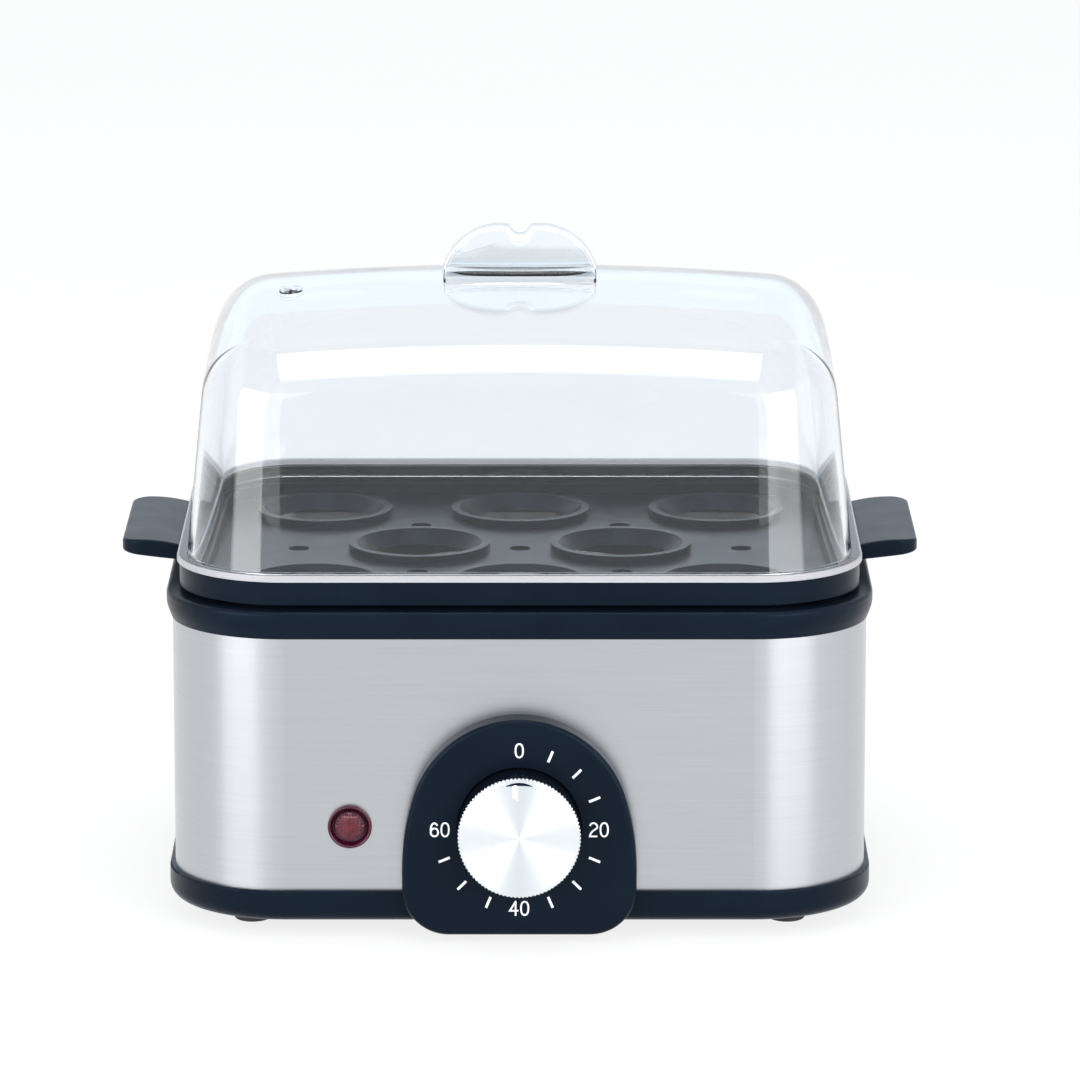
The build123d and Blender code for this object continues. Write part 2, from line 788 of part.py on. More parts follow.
with BuildPart() as timer_contacts:
    with Locations(dial.offset(cam_mid)):
        for level in leaf_levels:
            with Locations((timer_w / 2 + tab_out, level)):
                Box(leaf_l + tab_out, leaf_t, leaf_w, align=(Align.MAX, Align.MIN, Align.CENTER))
    tip_x = timer_w / 2 - leaf_l + button_d
    lower_top = dial.offset(cam_mid).origin + Vector(tip_x, 0, leaf_levels[0] + leaf_t)
    upper_under = dial.offset(cam_mid).origin + Vector(tip_x, 0, leaf_levels[1])
    with Locations(lower_top):
        Cylinder(button_d / 2, button_h, align=(Align.CENTER, Align.CENTER, Align.MIN))
    with Locations(upper_under):
        Cylinder(button_d / 2, button_h, align=(Align.CENTER, Align.CENTER, Align.MAX))

with BuildPart() as timer_screws:
    with Locations(dial.offset(cup_back + recess_floor)):
        with Locations(*timer_screws_at):
            Cone(timer_screw_d / 2, timer_screw_head_d / 2, timer_head_h,
                 align=(Align.CENTER, Align.CENTER, Align.MAX))
            Cylinder(timer_screw_d / 2, recess_floor + timer_plate_t + timer_screw_end,
                     align=(Align.CENTER, Align.CENTER, Align.MAX))
    with Locations(dial.offset(cup_back + recess_floor)):
        with Locations(*timer_screws_at):
            cross_slot(timer_screw_head_d, timer_head_h / 2)

# Timer shaft: flat-sided stub for the knob, collar in the plate, arbor and rear journal
cap_z = panel_proud + knob_proud - cap_t
knob_back = panel_proud - recess_depth + knob_gap
hub_end = cap_z - knob_front_t
shoulder_back = timer_front - fit - shoulder_t
with BuildPart() as timer_shaft:
    with BuildSketch(dial.offset(shoulder_back)):
        Circle(shaft_d / 2)
    extrude(amount=hub_end - fit - shoulder_back)
    with BuildSketch(dial.offset(shoulder_back)):
        Circle(shoulder_d / 2)
    extrude(amount=shoulder_t)
    with BuildSketch(dial.offset(knob_back)):
        with Locations((0, shaft_flat)):
            Rectangle(2 * shaft_d, shaft_d, align=(Align.CENTER, Align.MIN))
    extrude(amount=hub_end - knob_back, mode=Mode.SUBTRACT)
    with BuildSketch(dial.offset(case_back + timer_wall + fit)):
        Circle(arbor_d / 2)
    extrude(amount=shoulder_back - case_back - timer_wall - fit)
    with BuildSketch(dial.offset(case_back - journal_over)):
        Circle(journal_d / 2)
    extrude(amount=journal_over + timer_wall + fit)

with BuildPart() as timer_cam:
    with BuildSketch(dial.offset(timer_front - cam_back - cam_t)):
        Circle(cam_d / 2)
        with Locations((0, cam_d / 2)):
            Circle(cam_notch, mode=Mode.SUBTRACT)
        Circle(arbor_d / 2 + running, mode=Mode.SUBTRACT)
    extrude(amount=cam_t)

# Knob: hollow plastic body with a flat-sided hub, metal face disc and pointer
with BuildPart() as knob_body:
    with BuildSketch(dial.offset(knob_back)):
        Circle(knob_r)
    extrude(amount=cap_z - knob_back)
    with BuildSketch(dial.offset(knob_back)):
        Circle(knob_r - knob_wall)
        Circle(knob_hub_d / 2, mode=Mode.SUBTRACT)
    extrude(amount=hub_end - knob_back, mode=Mode.SUBTRACT)
    with BuildSketch(dial.offset(knob_back)):
        Circle(shaft_d / 2 + running)
        with Locations((0, shaft_flat + running)):
            Rectangle(2 * shaft_d, shaft_d, align=(Align.CENTER, Align.MIN), mode=Mode.SUBTRACT)
    extrude(amount=hub_end - knob_back, mode=Mode.SUBTRACT)

with BuildPart() as knob_cap:
    with BuildSketch(dial.offset(cap_z)):
        Circle(cap_r)
    extrude(amount=cap_t)
    chamfer(knob_cap.faces().sort_by(Axis.Y)[0].edges(), cap_edge)
    with BuildSketch(dial.offset(cap_z + cap_t)):
        SlotArc(CenterArc((0, 0), slit_r, 90 - slit_deg / 2, slit_deg), slit_w)
    extrude(amount=-slit_depth, mode=Mode.SUBTRACT)
    with BuildSketch(dial.offset(cap_z + cap_t)):
        with Locations((-pointer_side, pointer_r)):
            Rectangle(pointer_w + 2 * running, pointer_l + 2 * running)
    extrude(amount=-pointer_t, mode=Mode.SUBTRACT)

with BuildPart() as knob_pointer:
    with BuildSketch(dial.offset(cap_z + cap_t - pointer_t)):
        with Locations((-pointer_side, pointer_r)):
            Rectangle(pointer_w, pointer_l)
    extrude(amount=pointer_t)

# Signal lamp: lens with its barrel through the sleeve, push-on holder and neon bulb
with BuildPart() as lamp_lens:
    with BuildSketch(lamp):
        Circle(lens_flange_d / 2)
    extrude(amount=lens_flange_t)
    fillet(lamp_lens.faces().sort_by(Axis.Y)[0].edges(), lens_dome)
    with BuildSketch(lamp.offset(-lens_l)):
        Circle(lens_barrel_d / 2)
    extrude(amount=lens_l)
    with BuildSketch(lamp.offset(-lens_l)):
        Circle(lens_bore_d / 2)
    extrude(amount=lens_l + lens_flange_t - lens_front_t, mode=Mode.SUBTRACT)

holder_back = -lens_l - fit - holder_end
with BuildPart() as lamp_holder:
    with BuildSketch(lamp.offset(holder_back)):
        Circle(lens_barrel_d / 2 + fit + holder_t)
    extrude(amount=-holder_back - sleeve_t)
    with BuildSketch(lamp.offset(holder_back + holder_end)):
        clearance_hole(lens_barrel_d)
    extrude(amount=lens_l, mode=Mode.SUBTRACT)
    with BuildSketch(lamp.offset(holder_back)):
        clearance_hole(neon_d)
    extrude(amount=holder_end, mode=Mode.SUBTRACT)

with BuildPart() as neon_lamp:
    with BuildSketch(lamp.offset(-lens_front_t - neon_l)):
        Circle(neon_d / 2)
    extrude(amount=neon_l)
    fillet(neon_lamp.faces().sort_by(Axis.Y)[0].edges(), neon_tip_r)

# Cord gland in the sleeve's rear wall
with BuildPart() as cord_gland:
    with BuildSketch(rear):
        Circle(gland_flange_d / 2)
    extrude(amount=gland_flange_t)
    fillet(cord_gland.faces().sort_by(Axis.Y)[-1].edges(), gland_edge_r)
    with BuildSketch(rear.offset(-sleeve_t)):
        Circle(gland_neck_d / 2)
    extrude(amount=sleeve_t)
    with BuildSketch(rear.offset(-sleeve_t - gland_inner_t)):
        Circle(gland_flange_d / 2)
    extrude(amount=gland_inner_t)
    with BuildSketch(rear.offset(-sleeve_t - gland_inner_t)):
        Circle(gland_bore_d / 2)
    extrude(amount=gland_inner_t + sleeve_t + gland_flange_t, mode=Mode.SUBTRACT)

# Terminal block on two bosses of the pan
block_z = floor_z + block_boss_h
with BuildPart() as terminal_block:
    with BuildSketch(body_xy.offset(block_z)):
        with Locations((gland_x, block_y)):
            Rectangle(block_w, block_d)
        with Locations(*block_spots):
            Circle(block_screw_d / 2 + fit, mode=Mode.SUBTRACT)
    extrude(amount=block_h)

with BuildPart() as block_screws:
    with BuildSketch(body_xy.offset(block_z + block_h)):
        with Locations(*block_spots):
            Circle(block_screw_head_d / 2)
    extrude(amount=block_screw_head_h)
    with BuildSketch(body_xy.offset(floor_z)):
        with Locations(*block_spots):
            Circle(block_screw_d / 2)
    extrude(amount=block_boss_h + block_h)
    with Locations(body_xy.offset(block_z + block_h + block_screw_head_h)):
        with Locations(*block_spots):
            cross_slot(block_screw_head_d, block_screw_head_h / 2)

# Push-on terminals under the thermostat's blades and the heater's pins
flag_tops = [
    (-blade_gap / 2, 0, blade_end_z),
    (blade_gap / 2, 0, blade_end_z),
    (coil_end_x, -coil_end_y, pin_end_z),
    (coil_end_x, coil_end_y, pin_end_z),
]
with BuildPart() as lead_flags:
    with Locations(body_xy):
        with Locations(*flag_tops):
            Box(flag, flag, flag, align=(Align.CENTER, Align.CENTER, Align.MAX))

# Leads: each one runs between two terminals, points measured from the body's middle and the table
blade_flag_z = blade_end_z - flag / 2
pin_flag_z = pin_end_z - flag / 2
fuse_z = dish_under - fuse_d / 2
tab_x = timer_w / 2 + tab_out
tab_y = cam_mid * -1 - body_d / 2
upper_tab_z = dial_z + leaf_levels[1] + leaf_t / 2
lower_tab_z = dial_z + leaf_levels[0] + leaf_t / 2
neon_y = lens_front_t + neon_l - body_d / 2
block_front = block_y - block_d / 2
entry_z = block_z + block_h / 2
lead_runs = [
    [
        (tab_x, tab_y, upper_tab_z), (37.5, tab_y, upper_tab_z), (45, -62, 45), (48, -41, 36),
        (50, -12, 27), (50, 12, 20), (49.5, 28, entry_z), (49.5, block_front, entry_z),
    ],
    [
        (tab_x, tab_y, lower_tab_z), (35.5, tab_y, lower_tab_z), (37, -61, 46), (29, -43, 50),
        (14, -25, 53), (blade_gap / 2, -13, blade_flag_z), (blade_gap / 2, -flag / 2, blade_flag_z),
    ],
    [
        (-blade_gap / 2 - flag / 2, 0, blade_flag_z), (-14, 0, blade_flag_z), (-21, 8, 61), (-19, 18, 69.5),
        (-15.5, fuse_y, fuse_z), (-fuse_l / 2, fuse_y, fuse_z),
    ],
    [
        (fuse_l / 2, fuse_y, fuse_z), (17, fuse_y, fuse_z), (22, 19.2, 64), (20.5, coil_end_y, pin_flag_z),
        (coil_end_x - flag / 2, coil_end_y, pin_flag_z),
    ],
    [
        (coil_end_x + flag / 2, -coil_end_y, pin_flag_z), (44.5, -coil_end_y, pin_flag_z), (52, 0, 37),
        (54, 18, 25), (53.5, 30, entry_z), (53.5, block_front, entry_z),
    ],
    [
        (-lamp_x - neon_lead_x, neon_y, lamp_z), (-lamp_x - neon_lead_x, -52, lamp_z), (-42, -32, 20),
        (-26, -8, 12), (0, 14, 11), (24, 24, 12), (36.5, 32, entry_z), (36.5, block_front, entry_z),
    ],
    [
        (-lamp_x + neon_lead_x, neon_y, lamp_z), (-lamp_x + neon_lead_x, -52, lamp_z), (-38.5, -32, 20),
        (-23, -9, 12), (2, 11, 11), (26, 21, 12), (41, 31, entry_z), (41, block_front, entry_z),
    ],
]


def bend_radii(points):
    """Largest smooth bend at each inner point of a run."""
    radii = []
    for before, here, after in zip(points, points[1:], points[2:]):
        half_turn = radians((here - before).get_angle(after - here) / 2)
        radii.append(0.45 * min((here - before).length, (after - here).length) / tan(half_turn))
    return radii


with BuildPart() as leads:
    for run in lead_runs:
        points = [Vector(x, y + body_y, z) for x, y, z in run]
        radii = bend_radii(points)
        print("lead bends", [round(radius, 1) for radius in radii])
        with BuildLine() as path:
            FilletPolyline(*points, radius=radii)
        with BuildSketch(Plane(origin=path.line @ 0, z_dir=path.line % 0)):
            Circle(lead_d / 2)
        sweep(path=path.line)

# Side handles of the tray
handle_root_x = body_w / 2 - band_inset - band_wall / 2
handle_mid_x = body_w / 2 - band_inset + handle_mid
handle_tip_x = body_w / 2 - band_inset + handle_l
with BuildPart() as side_handles:
    with BuildSketch(front_view.shift_origin(Vector(0, body_y, band_z))):
        with BuildLine():
            ThreePointArc((handle_root_x, handle_top_root), (handle_mid_x, handle_top_mid),
                          (handle_tip_x, handle_top_tip))
            Line((handle_tip_x, handle_top_tip), (handle_tip_x, handle_low_tip))
            ThreePointArc((handle_tip_x, handle_low_tip), (handle_mid_x, handle_low_mid),
                          (handle_root_x, handle_low_root))
            Line((handle_root_x, handle_low_root), (handle_root_x, handle_top_root))
        make_face()
    extrude(amount=handle_w / 2, both=True)
    fillet(side_handles.edges().filter_by(Axis.Z).sort_by(Axis.X)[-2:], handle_r)
    fillet(side_handles.faces().sort_by(Axis.X)[-1].edges().filter_by(Axis.Y), handle_edge_r)
    mirror(about=Plane.YZ)

# Egg tray: band, step, spigot into the collar, deck with eight egg seats and steam holes
seat_spots = [
    (column * seat_pitch_x, row * seat_pitch_y)
    for row, columns in ((-1, (-1, 0, 1)), (0, (-0.5, 0.5)), (1, (-1, 0, 1)))
    for column in columns
]
steam_spots = [(0, 0), (-steam_side_x, 0), (steam_side_x, 0)]
seat_rim_z = deck_top + seat_ring_h
with BuildPart() as egg_tray:
    with BuildSketch(body_xy.offset(band_z)):
        ring(band_inset, band_inset + band_wall)
    extrude(amount=band_h)
    with BuildSketch(body_xy.offset(band_z)):
        ring(band_inset, spigot_inset + spigot_t)
    extrude(amount=web_t)
    with BuildSketch(body_xy.offset(plate_top)):
        ring(spigot_inset, spigot_inset + spigot_t)
    extrude(amount=spigot_h + web_t)
    with BuildSketch(body_xy.offset(deck_top - deck_t)):
        outline(spigot_inset)
    extrude(amount=deck_t)
    with BuildSketch(body_xy.offset(deck_top)):
        with Locations(*seat_spots):
            Circle(seat_ring_d / 2)
    extrude(amount=seat_ring_h)
    with Locations(body_xy.offset(seat_rim_z)):
        with Locations(*seat_spots):
            Cone(seat_bottom_d / 2, seat_top_d / 2, seat_ring_h + deck_t,
                 align=(Align.CENTER, Align.CENTER, Align.MAX), mode=Mode.SUBTRACT)
    with BuildSketch(body_xy.offset(deck_top)):
        with Locations(*steam_spots):
            Circle(steam_d / 2)
        with GridLocations(seat_pitch_x, 2 * steam_y, 2, 2):
            Circle(steam_d / 2)
    extrude(amount=-deck_t, mode=Mode.SUBTRACT)
    add(side_handles.part)

# Clear cover: drafted walls under a crown curved both ways, rounded over, hollowed to one skin
cover_blocks = []
for skin in (0, cover_t):
    apex = crown_z - skin
    crown_r = crown_r_front - skin
    end_drop = crown_r - sqrt(crown_r**2 - crown_half_y**2)
    with BuildPart() as crown_block:
        for station in crown_stations:
            station_x = station * crown_half_x
            top = apex - station_x**2 / (2 * crown_r_side)
            with BuildSketch(side_view.offset(station_x)):
                with BuildLine():
                    ThreePointArc((-crown_half_y, top - end_drop), (0, top), (crown_half_y, top - end_drop))
                    Line((crown_half_y, top - end_drop), (crown_half_y, band_top))
                    Line((crown_half_y, band_top), (-crown_half_y, band_top))
                    Line((-crown_half_y, band_top), (-crown_half_y, top - end_drop))
                make_face()
        loft()
    with BuildPart() as cover_block:
        with BuildSketch(body_xy.offset(band_top)):
            outline(cover_inset + skin)
        extrude(amount=crown_rise + 2 * flange_t, taper=cover_draft)
        add(crown_block.part, mode=Mode.INTERSECT)
        fillet(cover_block.faces().sort_by(Axis.Z)[-1].edges(), cover_edge_r - skin)
    cover_blocks.append(cover_block.part)

# Grip on the crown: an arched tab with a thumb notch, on a foot
grip_z = crown_z + grip_foot_h
grip_top = crown_z + grip_h
grip_mid = (grip_flat + (grip_half_w - grip_flat) * grip_bulge, grip_z + (grip_top - grip_z) * grip_bulge)
with BuildSketch() as grip_tab:
    with BuildLine():
        ThreePointArc((grip_half_w, grip_z), grip_mid, (grip_flat, grip_top))
        Line((grip_flat, grip_top), (0, grip_top))
        Line((grip_half_w, grip_z), (grip_half_w, crown_z))
        Line((grip_half_w, crown_z), (0, crown_z))
        mirror(about=Plane.YZ)
    make_face()
    with Locations((0, grip_top)):
        Circle(notch_r, mode=Mode.SUBTRACT)

with BuildSketch() as grip_pocket:
    add(grip_tab.sketch)
    offset(amount=-grip_skin, mode=Mode.REPLACE)

vent_z = crown_z - vent_x**2 / (2 * crown_r_side)
with BuildPart() as lid:
    add(cover_blocks[0])
    add(cover_blocks[1], mode=Mode.SUBTRACT)
    with BuildSketch(body_xy.offset(band_top)):
        ring(flange_inset, lip_in)
    extrude(amount=flange_t)
    with BuildSketch(body_xy.offset(band_top - cover_lip_h)):
        ring(lip_out, lip_in)
    extrude(amount=cover_lip_h + fit)
    with Locations(body_xy.offset(vent_z)):
        with Locations((-vent_x, -vent_y)):
            Cone(vent_boss_d / 2, vent_boss_d / 2 - fit, 2 * vent_boss_h)
            Cone(vent_bore_d / 2, vent_bore_d / 2 + fit, 4 * cover_t, mode=Mode.SUBTRACT)
    with BuildSketch(body_xy.offset(crown_z - cover_t / 2)):
        RectangleRounded(2 * grip_half_w, grip_foot_t, grip_foot_r)
    extrude(amount=grip_foot_h + cover_t / 2)
    with BuildSketch(front_view):
        add(grip_tab.sketch)
    extrude(amount=grip_t / 2, both=True)
    with BuildSketch(front_view):
        add(grip_pocket.sketch)
    extrude(amount=grip_t / 2 - grip_skin, both=True, mode=Mode.SUBTRACT)
    with BuildSketch(body_xy.offset(grip_z + grip_skin)):
        Rectangle(2 * grip_half_w - 4 * grip_skin, grip_t - 2 * grip_skin)
    extrude(amount=-(grip_skin + grip_foot_h + 2 * cover_t), mode=Mode.SUBTRACT)

pieces = {
    "rubber_feet": rubber_feet,
    "base_pan": base_pan,
    "steel_sleeve": steel_sleeve,
    "top_collar": top_collar,
    "body_screws": body_screws,
    "heating_plate": heating_plate,
    "plate_seal": plate_seal,
    "plate_nuts": plate_nuts,
    "heater_element": heater_element,
    "thermostat": thermostat,
    "thermostat_bracket": thermostat_bracket,
    "bracket_nuts": bracket_nuts,
    "thermal_fuse": thermal_fuse,
    "control_panel": control_panel,
    "panel_screws": panel_screws,
    "timer_plate": timer_plate,
    "timer_case": timer_case,
    "timer_bell": timer_bell,
    "timer_contacts": timer_contacts,
    "timer_screws": timer_screws,
    "timer_shaft": timer_shaft,
    "timer_cam": timer_cam,
    "knob_body": knob_body,
    "knob_cap": knob_cap,
    "knob_pointer": knob_pointer,
    "lamp_lens": lamp_lens,
    "lamp_holder": lamp_holder,
    "neon_lamp": neon_lamp,
    "cord_gland": cord_gland,
    "terminal_block": terminal_block,
    "block_screws": block_screws,
    "lead_flags": lead_flags,
    "leads": leads,
    "egg_tray": egg_tray,
    "lid": lid,
}
os.makedirs("parts", exist_ok=True)
for name, piece in pieces.items():
    piece.part.label = name
    export_step(piece.part, f"parts/{name}.step")
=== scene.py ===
"""Looks of the electric egg cooker: camera, light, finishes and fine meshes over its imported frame."""
import json
from math import atan, atan2, cos, pi, radians, sin, sqrt, tan

import bmesh
import bpy
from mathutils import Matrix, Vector


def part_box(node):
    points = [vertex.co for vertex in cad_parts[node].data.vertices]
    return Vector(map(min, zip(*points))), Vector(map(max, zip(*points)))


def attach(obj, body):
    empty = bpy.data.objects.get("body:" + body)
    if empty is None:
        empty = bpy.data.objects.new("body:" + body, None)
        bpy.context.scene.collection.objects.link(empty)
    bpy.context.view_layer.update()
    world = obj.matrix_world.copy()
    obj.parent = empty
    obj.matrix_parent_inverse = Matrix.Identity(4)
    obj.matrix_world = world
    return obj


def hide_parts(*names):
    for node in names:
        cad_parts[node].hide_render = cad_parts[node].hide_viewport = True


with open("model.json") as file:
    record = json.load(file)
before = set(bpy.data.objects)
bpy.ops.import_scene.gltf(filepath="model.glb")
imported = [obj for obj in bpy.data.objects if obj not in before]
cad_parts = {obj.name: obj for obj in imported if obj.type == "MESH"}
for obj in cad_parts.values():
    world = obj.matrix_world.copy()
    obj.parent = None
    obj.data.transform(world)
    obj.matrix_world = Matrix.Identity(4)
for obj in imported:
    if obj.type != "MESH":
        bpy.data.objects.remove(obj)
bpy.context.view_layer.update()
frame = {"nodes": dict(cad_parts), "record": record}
nodes = frame["nodes"]

MM = 0.001


def in_mm(box):
    """A box's low and high corners in millimetres."""
    return [[value / MM for value in corner] for corner in box]


# Places taken from the frame, in millimetres
sleeve_low, sleeve_high = in_mm(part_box("steel_sleeve"))
panel_low = in_mm(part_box("control_panel"))[0]
cap_low, cap_high = in_mm(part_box("knob_cap"))
knob_body_high = in_mm(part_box("knob_body"))[1]
lens_low, lens_high = in_mm(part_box("lamp_lens"))
lid_low, lid_high = in_mm(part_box("lid"))
body_w = sleeve_high[0] - sleeve_low[0]
body_d = sleeve_high[1] - sleeve_low[1]
body_y = (sleeve_high[1] + sleeve_low[1]) / 2
body_r = 31.5
sleeve_face = sleeve_low[1]
face_y = panel_low[1]
dial_z = (cap_low[2] + cap_high[2]) / 2

# Camera, fitted to the photograph; millimetres, but for its reach in metres
camera_pitch_deg = 12.5
camera_place = (5.59, body_y - 1900.0, 514.1)
camera_lens = 231.2
camera_sensor = 36.0
camera_reach = 20

# Surround and floor; the gap is the darker patch in front of the object
surround = (0.84, 0.87, 0.91)
front_gap = (0.50, 0.53, 0.57)
gap_direction = (0, -1, 0.25)
gap_cosines = (0.88, 0.99)
floor_half = 3.0
floor_shades = ((0.86, 0.865, 0.87), (0.88, 0.885, 0.89))
floor_rough = 0.9
floor_white = 0.82

# Soft boxes, in metres and watts: name, place, aim, size, power and colour
white = (1, 1, 1)
box_aim = (0, 0, 0.06)
soft_boxes = (
    ("left_box", (-0.98, -0.88, 0.45), box_aim, (0.9, 1.0), 10.0, white),
    ("right_box", (0.86, -1.02, 0.45), box_aim, (1.05, 1.0), 10.0, white),
    ("left_fill", (-0.56, -1.45, 0.6), box_aim, (0.7, 1.1), 2.5, white),
    ("right_fill", (0.56, -1.45, 0.6), box_aim, (0.7, 1.1), 1.9, white),
    ("right_side", (1.3, -0.2, 0.5), box_aim, (1.0, 1.0), 1.4, white),
    ("top_box", (0, 0.05, 1.3), (0, 0.0501, 0), (0.5, 1.5), 5.5, white),
    ("back_box", (0, 1.3, 0.45), (0, 0, 0.1), (1.6, 0.5), 0.6, (0.35, 0.72, 1.0)),
)

# Clear cover
cover_lip_h = 3.0
cover_foot_z = lid_low[2] + cover_lip_h
cover_inset = 3.9
cover_t = 1.8
cover_draft_deg = 5.7
cover_edge_r = 17.0
cover_flange_inset = 1.3
cover_flange_t = 1.8
cover_flange_edge_r = 0.5
cover_flange_chamfer = 0.2
cover_lip_out = 5.1
cover_lip_in = 6.4
cover_lip_chamfer = 0.3
cover_sharp_deg = 40
flange_top_z = cover_foot_z + cover_flange_t
flange_steps = 4
wall_shares = (0.0, 0.06, 0.14, 0.28, 0.5, 0.75, 0.92)
rounding_steps = 16
rounding_tries = 30
slope_reach = 0.5
crown_rise = 67.05
crown_r_side = 900.0
crown_r_front = 268.0
crown_z = flange_top_z + crown_rise
crown_steps = 26

# Milky edges of the cover: a pale colour painted on the flange's outer faces and the grip's narrow ones as
# painted highlight lines
highlight_band_depth = 0.6
surface_tolerance = 0.05
least_upward = 0.05

# Grip on the crown: an upright tab on a foot, hollow from below
grip_half_w = 21.3
grip_flat = 6.9
grip_bulge = 0.66
grip_arch_steps = 24
grip_t = 5.6
grip_edge_r = 0.5
grip_foot_w = 9.5
grip_foot_h = 3.4
grip_foot_corner_r = 1.2
grip_root = cover_t / 2
grip_skin = 1.5
grip_top = lid_high[2]
foot_slope_low = 1.5
foot_slope_rise = 1.3
foot_slope_in = 1.6
foot_slope_half = 19.5
foot_slope_steps = 8
slot_corner_r = 1.2
notch_r = 2.8
notch_ease = 0.8
notch_shoulder_in = 0.25
notch_shoulder_drop = 0.15
notch_lift = 0.2
notch_start_deg = 20
notch_steps = 16

# Steam vent
vent_x = 63.5
vent_y = 7.0
vent_bore_r = 1.95
vent_boss_r = 3.2
vent_boss_h = 1.0

# Knob; a rim profile's points are in from the rim and back from the front
knob_teeth = 96
tooth_steps = 6
tooth_depth = 0.3
cap_r = cap_high[0]
cap_front = cap_low[1]
cap_back = cap_high[1]
face_rim = ((0.95, 0.0), (0.8, 0.1), (0.35, 0.12), (0.0, 0.42))
face_rim_toothed = (3, 4)
face_back_chamfer = (0.3, 0.1)
knob_side_r = knob_body_high[0]
knob_back = knob_body_high[1]
knurl_proud = 0.25
knurl_root = 0.4
knurl_depth = 0.22
knurl_toothed = (1, 2, 3)
knurl_front_chamfer = (0.05, 0.15)
knurl_back_chamfer = (0.45, 0.4)
knurl_back_gap = 0.1
overshoot = 1

# Slit in the knob's face, with a black sheet in it as painted shade, the fine cut beside it and the pointer
# under it
slit_half = 3.85
slit_foot = 14.35
slit_bow_high = 1.2
slit_bow_low = 0.3
slit_shadow_set_back = 0.15
slit_steps = 14
side_cut = ((-3.75, 15.6), (-3.45, 15.65), (-2.95, 14.75), (-3.2, 14.65))
side_cut_deep = 0.4
pointer_w = 1.3
pointer_l = 4.2
pointer_r = 12.6
pointer_side = 1.05
pointer_proud = 0.04
pointer_deep = 0.3
pointer_slant = ((0.0, 0.75), (0.5, 0.55))
pointer_tip = (0.45, 0.1)

# Print on the panel
digit_w = 2.0
digit_h = 3.7
digit_stroke = 0.46
digit_gap = 0.42
oval_powers = (0.82, 0.86)
print_drop = 0.3
ink_t = 0.03
tick_r = 22.0
tick_l = 3.25
tick_w = 0.68
tick_degrees = (22.5, 45, 67.5, 112.5, 135, 157.5, 202.5, 225, 247.5)
number_r_x = 21.5
number_r_z = 22.0
number_degrees = (("0", 0), ("20", 90), ("40", 180), ("60", 270))

# Lamp lens; its groove's points are in from the rim and back from the sleeve's face
lens_r = (lens_high[0] - lens_low[0]) / 2
lens_x = (lens_high[0] + lens_low[0]) / 2
lens_z = (lens_high[2] + lens_low[2]) / 2
lens_barrel_r = 5.0
lens_bore_r = 3.5
lens_bore_front = 1.0
lens_rim_r = 0.4
lens_rim_proud = 0.8
lens_rim_steps = 12
lens_groove = ((0.95, -0.4), (1.3, 1.1), (1.75, 1.2), (1.9, -0.1))
lens_steps = 72
dome_r = lens_r - 2.0
dome_edge_proud = 0.2
pyramid_rows = 9
pyramid_h = 0.16
pyramid_foot_proud = 0.25
pyramid_bow = 0.5
pyramid_spill = 0.1
pyramid_sheet_t = 0.12
pyramid_sharp_deg = 10


def mesh_object(name, vertices, faces, sharp_deg=32):
    """A smooth-shaded mesh in metres from points in millimetres, with sharp edges past the angle."""
    mesh = bpy.data.meshes.new(name)
    mesh.from_pydata([(x * MM, y * MM, z * MM) for x, y, z in vertices], [], faces)
    bm = bmesh.new()
    bm.from_mesh(mesh)
    bmesh.ops.remove_doubles(bm, verts=bm.verts, dist=1e-7)
    bmesh.ops.recalc_face_normals(bm, faces=bm.faces)
    bm.to_mesh(mesh)
    bm.free()
    piece = bpy.data.objects.new(name, mesh)
    bpy.context.scene.collection.objects.link(piece)
    smooth(piece, sharp_deg)
    return piece


def smooth(piece, sharp_deg=32):
    """Smooth shading that keeps edges sharper than the angle."""
    bm = bmesh.new()
    bm.from_mesh(piece.data)
    for face in bm.faces:
        face.smooth = True
    for edge in bm.edges:
        edge.smooth = len(edge.link_faces) == 2 and edge.calc_face_angle(pi) < radians(sharp_deg)
    bm.to_mesh(piece.data)
    bm.free()


def combined(base, others, operation):
    """The base mesh joined with, or cut by, others, which are then deleted."""
    for other in others:
        step = base.modifiers.new("step", "BOOLEAN")
        step.operation = operation
        step.solver = "EXACT"
        step.object = other
        bpy.context.view_layer.update()
        graph = bpy.context.evaluated_depsgraph_get()
        mesh = bpy.data.meshes.new_from_object(base.evaluated_get(graph))
        base.modifiers.clear()
        base.data = mesh
        bpy.data.objects.remove(other)


def arc_points(centre, radius, start_deg, end_deg, steps):
    """Points on an arc, both ends included."""
    return [(centre[0] + radius * cos(radians(start_deg + (end_deg - start_deg) * n / steps)),
             centre[1] + radius * sin(radians(start_deg + (end_deg - start_deg) * n / steps)))
            for n in range(steps + 1)]


def circle_points(centre, radius, steps=24):
    """Points round a whole circle."""
    return arc_points(centre, radius, 0, 360, steps)[:-1]


def through(first, middle, last, steps):
    """Points on the circle through three points."""
    (ax, ay), (bx, by), (cx, cy) = first, middle, last
    d = 2 * (ax * (by - cy) + bx * (cy - ay) + cx * (ay - by))
    a2, b2, c2 = ax * ax + ay * ay, bx * bx + by * by, cx * cx + cy * cy
    ux = (a2 * (by - cy) + b2 * (cy - ay) + c2 * (ay - by)) / d
    uy = (a2 * (cx - bx) + b2 * (ax - cx) + c2 * (bx - ax)) / d
    start = atan2(ay - uy, ax - ux)
    end = atan2(cy - uy, cx - ux)
    radius = sqrt((ax - ux) ** 2 + (ay - uy) ** 2)
    return [(ux + radius * cos(start + (end - start) * n / steps),
             uy + radius * sin(start + (end - start) * n / steps)) for n in range(steps + 1)]


def bowed(half, foot, bow):
    """Points from left to right on an arc that bows up from its foot."""
    return list(reversed(through((half, foot), (0, foot + bow), (-half, foot), slit_steps)))


